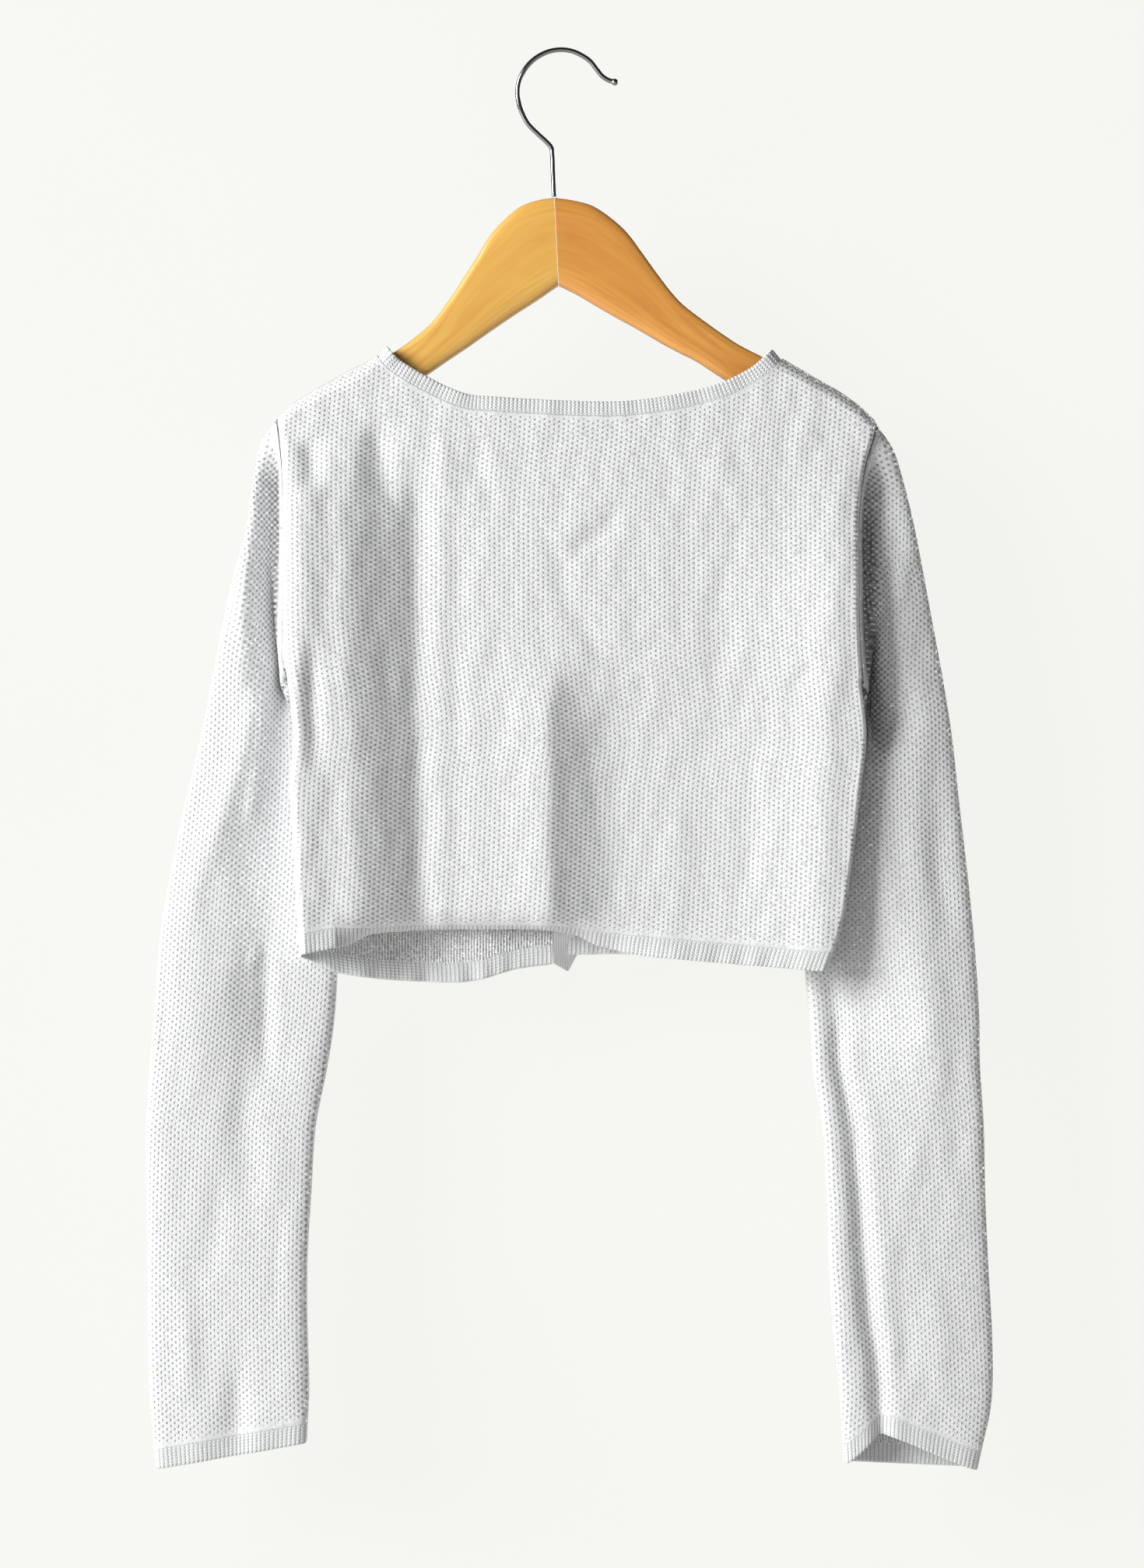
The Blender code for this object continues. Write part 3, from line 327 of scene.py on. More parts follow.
def crowded_first(count, crowding):
    """Shares from 0 to 1 that stand closer together at the start."""
    s = np.linspace(0.0, 1.0, count)
    return s - crowding * np.sin(math.pi * s) / math.pi


def knit_places(points, middle):
    """Places on the unrolled cloth: across it the length of each step less
    its rise, added up from the middle column; down it the height, and the
    extra length of a sloping wall, added up from the lower edge."""
    steps = np.diff(points, axis=0)
    across = np.sqrt(steps[..., 0] ** 2 + steps[..., 1] ** 2)
    u = np.concatenate([np.zeros((1, points.shape[1])), np.cumsum(across, axis=0)])
    u = u - u[middle]
    down = np.diff(points, axis=1)
    slope = np.sqrt(down[..., 1] ** 2 + down[..., 2] ** 2)
    extra = np.maximum(slope - np.abs(down[..., 2]), 0.0)
    below = np.cumsum(extra[:, ::-1], axis=1)[:, ::-1]
    below = np.concatenate([below, np.zeros((points.shape[0], 1))], axis=1)
    return np.stack([u, points[..., 2] + below], axis=-1)


def quad_grid(columns, rows, closed=False, wide=False):
    """Corner numbers of a grid's quads, column by column.  With closed, the
    last column joins the first one; wide numbers a column more for UVs."""
    i = np.arange(columns if closed else columns - 1)[:, None]
    j = np.arange(rows - 1)[None, :]
    following = i + 1 if wide else (i + 1) % columns
    corners = (i * rows + j, following * rows + j,
               following * rows + j + 1, i * rows + j + 1)
    return np.stack(np.broadcast_arrays(*corners), axis=-1).reshape(-1, 4)


def turned_out(quads, seen, places, outwards, sample):
    """The quads and their UV numbers, all turned round if the sample quad's
    normal points against the vector outwards."""
    corner = places[quads[sample]]
    normal = np.cross(corner[1] - corner[0], corner[2] - corner[0])
    if np.dot(normal, outwards) < 0:
        return quads[:, ::-1], seen[:, ::-1]
    return quads, seen


def put_mesh(name, places, quads, spots, spot_numbers, slots, marks, materials):
    """Object from quads: places in millimetres, UV spots by their numbers,
    material slots of the faces and named marks of the points."""
    mesh = bpy.data.meshes.new(name)
    mesh.vertices.add(len(places))
    mesh.vertices.foreach_set("co", (places * MM).astype(np.float32).ravel())
    mesh.loops.add(quads.size)
    mesh.loops.foreach_set("vertex_index", quads.astype(np.int32).ravel())
    mesh.polygons.add(len(quads))
    mesh.polygons.foreach_set("loop_start", np.arange(0, quads.size, 4, dtype=np.int32))
    mesh.polygons.foreach_set("material_index", slots.astype(np.int32))
    mesh.update(calc_edges=True)
    layer = mesh.uv_layers.new(name="surface")
    layer.data.foreach_set("uv", spots[spot_numbers.ravel()].astype(np.float32).ravel())
    for mark, values in marks.items():
        attribute = mesh.attributes.new(mark, "FLOAT", "POINT")
        attribute.data.foreach_set("value", values.astype(np.float32).ravel())
    for material in materials:
        mesh.materials.append(material)
    mesh.validate()
    mesh.shade_smooth()
    mesh.set_sharp_from_angle(angle=math.radians(60))
    piece = bpy.data.objects.new(name, mesh)
    bpy.context.scene.collection.objects.link(piece)
    return piece


def knitted_wall(name, points, normals, spots, plain, materials, closed=False,
                 painted_shade=None):
    """Wall of even thickness about a grid: the points moved half of it out
    and half of it in, joined round the edges.  Faces of the outer side take
    the first material, those of the inner side the second."""
    columns, rows = points.shape[:2]
    shift = normals * (CLOTH / 2)
    places = np.concatenate([(points + shift).reshape(-1, 3),
                             (points - shift).reshape(-1, 3)])
    outer = quad_grid(columns, rows, closed)
    seen = quad_grid(columns, rows, closed, wide=True)
    total = columns * rows
    sample = len(outer) // 2
    outer, seen = turned_out(outer, seen, places,
                             shift.reshape(-1, 3)[outer[sample][0]], sample)
    quads = [outer, outer[:, ::-1] + total]
    places_seen = [seen, seen[:, ::-1]]
    pairs = np.concatenate([outer[:, [0, 1]], outer[:, [1, 2]],
                            outer[:, [2, 3]], outer[:, [3, 0]]])
    pairs_seen = np.concatenate([seen[:, [0, 1]], seen[:, [1, 2]],
                                 seen[:, [2, 3]], seen[:, [3, 0]]])
    key = np.sort(pairs, axis=1)
    _, first, count = np.unique(key[:, 0] * total + key[:, 1],
                                return_index=True, return_counts=True)
    rim = first[count == 1]
    edge = pairs[rim]
    edge_seen = pairs_seen[rim]
    quads.append(np.stack([edge[:, 1], edge[:, 0],
                           edge[:, 0] + total, edge[:, 1] + total], axis=-1))
    places_seen.append(edge_seen[:, [1, 0, 0, 1]])
    slots = np.concatenate([np.zeros(len(outer)), np.ones(len(outer)),
                            np.zeros(len(rim))])
    # painted shade: how much the knit's hollows are widened and darkened where the cloth lies
    # in shade
    painted_shade = np.zeros(points.shape[:2]) if painted_shade is None else painted_shade
    marks = {"plain": np.concatenate([plain.ravel(), plain.ravel()]),
             "painted_shade": np.concatenate([painted_shade.ravel(), painted_shade.ravel()])}
    return put_mesh(name, places, np.concatenate(quads), spots.reshape(-1, 2),
                    np.concatenate(places_seen), slots, marks, materials)


def linear(code):
    """Linear colour of an sRGB hex code."""
    shown = [int(code[i:i + 2], 16) / 255 for i in (1, 3, 5)]
    return (*(v / 12.92 if v <= 0.04045 else ((v + 0.055) / 1.055) ** 2.4
              for v in shown), 1.0)


def feed(tree, node, inputs):
    """Each input takes a value, a socket, or another node's main output."""
    for key, value in inputs.items():
        if isinstance(value, bpy.types.Node):
            value = value.outputs[2 if value.type == "MIX" else 0]
        if isinstance(value, bpy.types.NodeSocket):
            tree.links.new(value, node.inputs[key])
        else:
            node.inputs[key].default_value = value


def add_node(tree, kind, inputs=None, **settings):
    """Node of a kind with its settings and what feeds its inputs."""
    node = tree.nodes.new("ShaderNode" + kind)
    for key, value in settings.items():
        setattr(node, key, value)
    feed(tree, node, inputs or {})
    return node


def new_material(name, on_object=False):
    """New material, its node tree and shader, and where a point lies: on the
    unrolled surface in millimetres, or in the object's own coordinates."""
    material = bpy.data.materials.new(name)
    material.use_nodes = True
    tree = material.node_tree
    place = (add_node(tree, "TexCoord").outputs["Object"] if on_object else
             add_node(tree, "UVMap", uv_map="surface").outputs[0])
    return material, tree, tree.nodes["Principled BSDF"], place


def wave(tree, length, pitch):
    """Cosine of a length on the cloth, with one crest to every pitch."""
    turns = add_node(tree, "Math", {0: length, 1: 2 * math.pi / pitch}, operation="MULTIPLY")
    return add_node(tree, "Math", {0: turns}, operation="COSINE")


def fibres(tree, place, lumps, detail, dull, bright):
    """Soft uneven yarn: noise with so many lumps to a millimetre, and its mix
    of a dull and a bright grey."""
    noise = add_node(tree, "TexNoise", {"Vector": place, "Scale": lumps, "Detail": detail},
                     noise_dimensions="2D")
    return noise, add_node(tree, "Mix", {0: noise, 6: linear(dull), 7: linear(bright)},
                           data_type="RGBA")


def glints(tree, place, size, rarity):
    """Loops where the metal lies on top: square cells of a size whose random
    number is above a rarity, and that number's node."""
    cell = add_node(tree, "VectorMath", {0: place, 1: (size,) * 3}, operation="SNAP")
    random = add_node(tree, "TexWhiteNoise", {"Vector": cell}, noise_dimensions="2D")
    return add_node(tree, "Math", {0: random, 1: rarity}, operation="GREATER_THAN"), random


def finish_knit(tree, shader, yarn, roughness, height, strength, depth):
    """Matt finish of soft yarn: its colour, a little sheen, and a relief from
    a height whose depth is in metres."""
    bump = add_node(tree, "Bump", {"Height": height, "Strength": strength, "Distance": depth})
    feed(tree, shader, {"Base Color": yarn, "Roughness": roughness, "Normal": bump,
                        "Sheen Weight": 0.15})
    return bump


def tuck_knit(name, wale, course):
    """Fine tuck-stitch knit of soft grey yarn with a silver lurex thread.

    The eye sees rows of small dark hollows between pale round loops, every
    other column half a step lower, and loops that flash where the metal thread
    lies on top.  Painted shade widens and darkens the hollows in shaded places.
    wale is the distance between columns of hollows and course that between the
    hollows of a column, in millimetres.  The real ones are a little closer;
    they are drawn as coarse as they need to show.
    """
    material, tree, shader, place = new_material(name)
    # The columns wander a little.
    drift = add_node(tree, "TexNoise", {"Vector": place, "Scale": 0.23, "Detail": 2.0},
                     noise_dimensions="2D").outputs["Color"]
    drift = add_node(tree, "VectorMath", {0: drift, 1: (0.5, 0.5, 0.5)}, operation="SUBTRACT")
    drift = add_node(tree, "VectorMath", {0: drift, "Scale": 0.3}, operation="SCALE")
    loose = add_node(tree, "VectorMath", {0: place, 1: drift}, operation="ADD")
    loose = add_node(tree, "SeparateXYZ", {0: loose.outputs[0]})
    # A hollow is where both waves crest, or both dip; painted shade opens it wider.
    columns = wave(tree, loose.outputs[0], 2 * wale)
    columns = add_node(tree, "Math", {0: columns, 1: 3.0}, operation="POWER")
    lattice = add_node(tree, "Math", {0: columns, 1: wave(tree, loose.outputs[1], course)},
                       operation="MULTIPLY")
    painted_shade = add_node(tree, "Attribute", attribute_name="painted_shade").outputs["Fac"]
    wider = add_node(tree, "Math", {0: painted_shade, 1: 0.75, 2: lattice}, operation="MULTIPLY_ADD")
    hollow = add_node(tree, "MapRange", {"Value": wider}, interpolation_type="SMOOTHSTEP")
    plain = add_node(tree, "Attribute", attribute_name="plain").outputs["Fac"]
    field = add_node(tree, "Clamp", {"Value": plain})
    hollow = add_node(tree, "Math", {0: hollow, 1: field}, operation="MULTIPLY")
    # Grey yarn, darker in the hollows, unevenly so; painted shade turns the hollows darker
    # still.
    depth = add_node(tree, "Mix", {0: painted_shade, 6: linear("#94979A"), 7: linear("#505256")},
                     data_type="RGBA")
    uneven = add_node(tree, "TexNoise", {"Vector": place, "Scale": 0.45, "Detail": 2.0},
                      noise_dimensions="2D")
    uneven = add_node(tree, "MapRange", {"Value": uneven, "From Min": 0.3, "From Max": 0.7,
                                         "To Min": 0.6, "To Max": 1.0})
    shade = add_node(tree, "Math", {0: hollow, 1: uneven}, operation="MULTIPLY")
    fibre, yarn = fibres(tree, place, lumps=1.9, detail=2.0, dull="#D3D4D6", bright="#E6E6E7")
    yarn = add_node(tree, "Mix", {0: shade, 6: yarn, 7: depth}, data_type="RGBA")
    # The lurex: tilted facets under a metal-bright coat, outside the hollows, on loops painted
    # paler as a painted glint.
    glint, random = glints(tree, place, size=1.1, rarity=0.76)
    metal = add_node(tree, "Math", {0: glint, 1: hollow}, operation="SUBTRACT", use_clamp=True)
    yarn = add_node(tree, "Mix", {0: metal, 6: yarn, 7: linear("#EEEEEE")}, data_type="RGBA")
    row = add_node(tree, "Math", {0: plain, 1: -0.8}, operation="MULTIPLY", use_clamp=True)
    yarn = add_node(tree, "Mix", {0: row, 6: yarn, 7: linear("#6E7074")}, data_type="RGBA")
    height = add_node(tree, "Math", {0: hollow, 1: -2.0, 2: fibre}, operation="MULTIPLY_ADD")
    bump = finish_knit(tree, shader, yarn, 0.75, height, strength=0.7, depth=0.0003)
    tilt = add_node(tree, "VectorMath", {0: random.outputs["Color"], 1: (0.5, 0.5, 0.5)},
                    operation="SUBTRACT")
    tilt = add_node(tree, "VectorMath", {0: tilt, "Scale": metal}, operation="SCALE")
    facet = add_node(tree, "VectorMath", {0: tilt, 1: (2.2, 2.2, 2.2), 2: bump},
                     operation="MULTIPLY_ADD")
    facet = add_node(tree, "VectorMath", {0: facet}, operation="NORMALIZE")
    feed(tree, shader, {"Coat Weight": metal, "Coat Roughness": 0.25, "Coat IOR": 3.4,
                        "Coat Normal": facet, "Sheen Roughness": 0.5})
    return material


def purl_side(name, wale):
    """The same knit seen from inside: narrow upright cords of small loops with
    soft furrows between them in painted shade, broken up unevenly, and a few
    painted glints where the metal thread lies."""
    material, tree, shader, place = new_material(name)
    parts = add_node(tree, "SeparateXYZ", {0: place})
    cord = wave(tree, parts.outputs[0], wale)
    loops = wave(tree, parts.outputs[1], pitch=1.4)
    broken = add_node(tree, "TexNoise", {"Vector": place, "Scale": 0.6, "Detail": 3.0},
                      noise_dimensions="2D")
    broken = add_node(tree, "MapRange", {"Value": broken, "From Min": 0.3, "From Max": 0.7,
                                         "To Min": -0.8, "To Max": 0.8})
    height = add_node(tree, "Math", {0: loops, 1: 0.2, 2: cord}, operation="MULTIPLY_ADD")
    height = add_node(tree, "Math", {0: height, 1: broken}, operation="ADD")
    # painted shade: the lower places between the cords take a darker grey; the noise breaks it
    # into uneven tone
    shade = add_node(tree, "MapRange", {"Value": height, "From Min": -1.7, "From Max": 0.7})
    yarn = add_node(tree, "Mix", {0: shade, 6: linear("#7E8084"), 7: linear("#E6E6E7")},
                    data_type="RGBA")
    # painted glints: white spots on loops where the metal thread lies
    glint, _ = glints(tree, place, size=0.8, rarity=0.93)
    yarn = add_node(tree, "Mix", {0: glint, 6: yarn, 7: linear("#FFFFFF")}, data_type="RGBA")
    rough = add_node(tree, "MapRange", {"Value": glint, "To Min": 0.75, "To Max": 0.3})
    finish_knit(tree, shader, yarn, rough, height, strength=0.6, depth=0.0003)
    return material


def back_surface(columns, rows):
    """Grid of the back from edge to edge and from its top edge to its hem,
    with the roll of its lower edge: the last stretch of each column turns
    inwards on an arc whose angle grows with the roll's share at that x."""
    share = crowded(columns, EDGE_CROWDING)
    top_x = side_x(0, -190.0) + (side_x(1, -190.0) - side_x(0, -190.0)) * share
    for _ in range(3):
        on_neck = (top_x > NECK_CORNERS_X[0]) & (top_x < NECK_CORNERS_X[1])
        top = np.where(on_neck, curve(BACK_NECK, top_x), straight(SHOULDER_RIDGE, top_x))
        top_x = side_x(0, top) + (side_x(1, top) - side_x(0, top)) * share
    foot_x = side_x(0, -512.0) + (side_x(1, -512.0) - side_x(0, -512.0)) * share
    rolled = straight(HEM_CURL, foot_x)
    foot = curve(BACK_HEM, foot_x) - ROLL_DROP * rolled
    z = top[:, None] + (foot - top)[:, None] * crowded_first(rows, TOP_CROWDING)[None, :]
    x = side_x(0, z) + (side_x(1, z) - side_x(0, z)) * share[:, None]
    y = -back_depth(x, z)
    turned = np.clip(1 - (z - foot[:, None]) / ROLL_LENGTH, 0, 1)
    angle = np.radians(ROLL_ANGLE) * rolled[:, None] * turned
    arc = ROLL_LENGTH * turned
    bent_z = foot[:, None] + ROLL_LENGTH - arc * np.sinc(angle / math.pi)
    inwards = arc * np.sin(angle / 2) * np.sinc(angle / 2 / math.pi)
    z = np.where(turned > 0, bent_z, z)
    points = np.stack([x, y + inwards, z], axis=-1)
    normals = grid_normals(points, np.array([0.0, -1.0, 0.0]))
    ridge = ~((top_x > NECK_CORNERS_X[0]) & (top_x < NECK_CORNERS_X[1]))
    normals[ridge, 0, 1] = 0.0
    return points, unit(normals), top, foot


def field_mark(*seams):
    """How much a point belongs to the patterned field: 1 in it, 0 on the plain
    strip along each seam, and below 0 right at the linked seam itself.  A seam
    is its distance from the points, its plain strip's width and its depth."""
    mark = 1.0
    for distance, width, depth in seams:
        mark = mark * ease((distance - width) / PATTERN_FADE)
    for distance, width, depth in seams:
        mark = mark - depth * (1 - ease(distance / LINKING))
    return np.maximum(mark, -1.0)


def seam_shows(z):
    """Share of an armhole's dark row that shows at a height: none low down."""
    return ease((z - SEAM_SHOWS_Z) / SEAM_SHOWS_RUN)


def fold_shade(normals):
    """Painted shade where a fold turns off to the right, away from the light:
    it grows with the normal's share to that side."""
    return FOLD_SHADE * ease((normals[..., 0] - 0.06) / 0.2) * (normals[..., 1] < 0)


outer_knit = tuck_knit("tuck_knit_grey_lurex", wale=2.8, course=2.8)
inner_knit = purl_side("purl_side_grey_lurex", wale=1.7)
back_points, back_normals, back_top, back_foot = back_surface(BACK_COLUMNS, BACK_ROWS)
back_spots = knit_places(back_points, BACK_COLUMNS // 2)
to_side = np.minimum(back_points[..., 0] - side_x(0, back_points[..., 2]),
                     side_x(1, back_points[..., 2]) - back_points[..., 0])
to_top = back_top[:, None] - back_points[..., 2]
to_foot = back_points[..., 2] - back_foot[:, None]
near_left = back_points[..., 0] < PANEL_CENTRE_X
row_dark = np.where(near_left, 0.1, MIDDLING) * seam_shows(back_points[..., 2])
back_plain = field_mark(
    (to_side, np.where(near_left, PLAIN_SIDE, PLAIN_RIGHT), row_dark),
    (to_top, PLAIN_TOP, DARK), (to_foot, PLAIN_SEAM, FAINT))
back = knitted_wall("back_panel", back_points, back_normals, back_spots, back_plain,
                    [outer_knit, inner_knit], painted_shade=fold_shade(back_normals))
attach(back, "root")
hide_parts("back")


# ================================================================ the fronts
# Two pieces of the same knit, seen here from inside at the hem and from
# outside in other views.  The wearer's right one lies over the left one and
# stands a little further out there.

FRONT_DEPTH = 8.5       # middle of a front's wall before the hanger plane
FRONT_SIDE_RADIUS = 9.0  # its rounding to the side seam
OVERLAP_LIFT = 3.4      # how much further out the right front lies
LIFT_FROM_X = 62.0
LIFT_TO_X = 20.0
QUIET_X = -4.0          # the bands lie flat: no unevenness about this line
QUIET_HALF = 14.0
QUIET_RUN = 12.0
FRONT_NECK_Z = -258.0   # foot of the neckline, at the bands
LOWER_BAND_X = (-4.95, 8.6)
UPPER_BAND_X = (-16.2, -3.0)
LOWER_PANEL_END_X = -5.0
UPPER_PANEL_END_X = -2.7
FRONT_COLUMNS = 118
FRONT_ROWS = 158
LOWER_FRONT_HEM = (
    # x, z
    (-152.1, -511.2), (-131, -521.1), (-114.8, -523.8), (-86.4, -526.1),
    (-50.4, -525.6), (-25.7, -518.9), (-5, -516.1),
)
UPPER_FRONT_HEM = (
    # x, z
    (-16.2, -511.2), (58.1, -511.2), (80.5, -513.5), (125.5, -517.1), (153.5, -518.9),
)
FRONT_FOLDS = (
    # x_top, z_top, x_bottom, z_bottom, rise, left, right
    (-88, -262, -84, -560, 3, 16, 20),
    (-42, -330, -46, -560, -1.6, 9, 12),
    (66, -300, 58, -560, 2.6, 15, 18),
    (104, -280, 98, -560, -1.6, 10, 12),
)
FRONT_CREASES = (
    # x_start, z_start, x_end, z_end, rise, half_width
    (-132, -228, -112, -300, 1, 6),
    (-120, -320, -126, -420, -1.1, 6),
    (-60, -300, -66, -372, -0.9, 5),
    (-30, -300, -58, -330, 0.8, 5),
    (-104, -420, -112, -500, -1, 7),
    (-28, -400, -32, -490, 0.8, 6),
    (140, -232, 122, -306, 1, 6),
    (86, -262, 78, -340, -1, 6),
    (34, -296, 56, -330, -0.8, 5),
    (130, -340, 138, -440, -1.1, 7),
    (28, -390, 34, -470, 0.9, 6),
    (84, -420, 76, -500, -0.9, 6),
    (118, -450, 112, -508, 0.8, 6),
)


def front_depth(x, z, lifted):
    """Middle of a front's wall before the hanger plane."""
    full = FRONT_DEPTH + folds(FRONT_FOLDS, x, z) + creases(FRONT_CREASES, x, z)
    if lifted:
        full = full + OVERLAP_LIFT * ease((LIFT_FROM_X - x) / (LIFT_FROM_X - LIFT_TO_X))
    quiet = ease((np.abs(x - QUIET_X) - QUIET_HALF) / QUIET_RUN)
    full = full + quiet * unevenness(x, z, seed=23, height=0.28, length=18.0)
    return sewn_depth(full, x, z, FRONT_SIDE_RADIUS)


def front_neck(x, side, end_x):
    """Neck seam of a front: a quarter sine from the shoulder to the band."""
    corner = NECK_CORNERS_X[side]
    start = straight(SHOULDER_RIDGE, corner)
    share = np.clip((x - corner) / (end_x - corner), 0.0, 1.0)
    return start + (FRONT_NECK_Z - start) * np.sin(share * math.pi / 2)


def front_surface(side, end_x, neck_end_x, hem, lifted):
    """Grid of a front from its side seam to its band's seam, top to hem."""
    share = crowded_first(FRONT_COLUMNS, 0.75)
    top = np.full(FRONT_COLUMNS, -190.0)
    for _ in range(4):
        top_x = side_x(side, top) + (end_x - side_x(side, top)) * share
        inside = top_x > NECK_CORNERS_X[0] if side == 0 else top_x < NECK_CORNERS_X[1]
        top = np.where(inside, front_neck(top_x, side, neck_end_x),
                       straight(SHOULDER_RIDGE, top_x))
    foot_x = side_x(side, -512.0) + (end_x - side_x(side, -512.0)) * share
    foot = curve(hem, foot_x)
    z = top[:, None] + (foot - top)[:, None] * crowded_first(FRONT_ROWS, TOP_CROWDING)
    x = side_x(side, z) + (end_x - side_x(side, z)) * share[:, None]
    points = np.stack([x, front_depth(x, z, lifted), z], axis=-1)
    normals = grid_normals(points, np.array([0.0, 1.0, 0.0]))
    normals[~inside, 0, 1] = 0.0
    return points, unit(normals), top, foot


front_grids = []
for name, side, end_x, neck_end_x, hem in (
        ("front_left", 0, LOWER_PANEL_END_X, LOWER_BAND_X[0], LOWER_FRONT_HEM),
        ("front_right", 1, UPPER_PANEL_END_X, UPPER_BAND_X[1], UPPER_FRONT_HEM)):
    points, normals, top, foot = front_surface(side, end_x, neck_end_x, hem, side == 1)
    front_grids.append((points, normals))
    to_side = np.abs(points[..., 0] - side_x(side, points[..., 2]))
    to_band = np.abs(points[..., 0] - end_x)
    plain = field_mark((to_side, PLAIN_SIDE, MIDDLING), (to_band, PLAIN_SEAM, MIDDLING),
                       (top[:, None] - points[..., 2], PLAIN_SEAM, 0.6),
                       (points[..., 2] - foot[:, None], PLAIN_SEAM, FAINT))
    panel = knitted_wall(name + "_panel", points, normals, knit_places(points, -1),
                         plain, [outer_knit, inner_knit])
    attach(panel, "root")
    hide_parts(name)


# ======================================================== the opening's bands
# Two plain knitted bands along the front edges, doubled and pressed flat; the
# one with the buttonholes lies on top.  The lower one droops to a soft point
# under the hem.

LOWER_BAND_TIP = (3.6, -531.9)
LOWER_BAND_CORNER_Z = -522.5
LOWER_BAND_FOOT_Z = -526.6
UPPER_BAND_FOOT_Z = -521.7
BAND_TWIST = 0.55       # how far its free edge turns away, to its width
TWIST_FROM_Z = -498.0
TWIST_RUN = 26.0
BAND_COLUMNS = 15
BAND_ROWS = 150


def plain_knit(name):
    """Smooth jersey of the same yarn, as on the bands: fine upright stitches
    too small to tell apart, so it looks soft, pale and even."""
    material, tree, shader, place = new_material(name)
    parts = add_node(tree, "SeparateXYZ", {0: place})
    stitches = wave(tree, parts.outputs[0], pitch=1.5)
    fibre, yarn = fibres(tree, place, lumps=1.7, detail=3.0, dull="#CFD0D2", bright="#F0F0F0")
    height = add_node(tree, "Math", {0: stitches, 1: 0.25, 2: fibre}, operation="MULTIPLY_ADD")
    finish_knit(tree, shader, yarn, 0.72, height, strength=0.5, depth=0.0004)
    return material


def band_surface(xs, foot, lifted):
    """Grid of a band: columns between its edges, rows from the neck down.  The
    end of the lower one twists, its free edge turning away from the camera."""
    down = np.linspace(0.0, 1.0, BAND_ROWS)
    z = FRONT_NECK_Z + (foot - FRONT_NECK_Z)[:, None] * down[None, :]
    x = np.repeat(xs[:, None], BAND_ROWS, axis=1)
    y = front_depth(x, z, lifted)
    if not lifted:
        y = y + BAND_TWIST * (x - xs[0]) * ease((TWIST_FROM_Z - z) / TWIST_RUN)
    points = np.stack([x, y, z], axis=-1)
    return points, grid_normals(points, np.array([0.0, 1.0, 0.0]))


band_knit = plain_knit("plain_jersey_grey_lurex")
lower_xs = np.linspace(*LOWER_BAND_X, BAND_COLUMNS)
lower_foot = np.interp(lower_xs, (LOWER_BAND_X[0], LOWER_BAND_TIP[0], LOWER_BAND_X[1]),
                       (LOWER_BAND_FOOT_Z, LOWER_BAND_TIP[1], LOWER_BAND_CORNER_Z))
upper_xs = np.linspace(*UPPER_BAND_X, BAND_COLUMNS)
upper_foot = np.full(BAND_COLUMNS, UPPER_BAND_FOOT_Z)
band_grids = []
for name, xs, foot, lifted in (("button_band", lower_xs, lower_foot, False),
                               ("buttonhole_band", upper_xs, upper_foot, True)):
    points, normals = band_surface(xs, foot, lifted)
    band_grids.append((points, normals))
    strip = knitted_wall(name + "_strip", points, normals, knit_places(points, 0),
                         np.ones(points.shape[:2]), [band_knit, band_knit])
    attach(strip, "root")
    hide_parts(name)


# ================================================================ the sleeves
# Two long sleeves of the same knit, each one piece closed by a seam at its
# inner edge.  They hang beside the body, a little behind it, with a few long
# creases, and a plain strip shows where they are linked to the armhole.

ARMHOLE_GAP = 0.15      # between the sleeve's edge and the body's
LEFT_SLEEVE = (
    # outer_x, outer_z, inner_x, inner_z, outer_y, inner_y, half
    (-171, -220.5, -162, -363.2, 0.5, 3, 9),
    (-174.6, -233.1, -161.6, -366.8, 1.5, 8, 9),
    (-178.2, -253.3, -159.8, -371.7, 2.5, 12.5, 9),
    (-181.3, -275.9, -156.2, -378, 4.2, 15.5, 9),
    (-188.8, -302.9, -151.2, -386.1, 5.6, 17.5, 8.5),
    (-195, -329.9, -146.7, -395.6, 7, 18.5, 8),
    (-201, -361.4, -142.2, -409.9, 8.4, 18.5, 8),
    (-208.3, -397.4, -137.7, -433.4, 9.4, 18.5, 8),
    (-216.9, -433.4, -134.1, -458.1, 10, 18.5, 8),
    (-225.5, -473.9, -131.8, -491.9, 10.5, 18.5, 8),
    (-231.8, -514.4, -131, -523.4, 10.5, 18.5, 8),
    (-234.9, -554.9, -133, -559.4, 10.2, 17, 8),
    (-237.4, -586.4, -137.2, -588.6, 9.2, 13.5, 8),
    (-239.4, -622.4, -143.6, -622.4, 8, 10.5, 8),
    (-239.2, -662.9, -146, -660.6, 8, 9, 8),
    (-238.4, -703.4, -148.2, -698.9, 8, 8, 8),
    (-238.4, -743.9, -148.2, -736, 8, 8, 8),
    (-237.2, -779.9, -147.2, -771, 8, 8, 8),
    (-234.9, -807.8, -148, -793, 8, 8, 8),
)
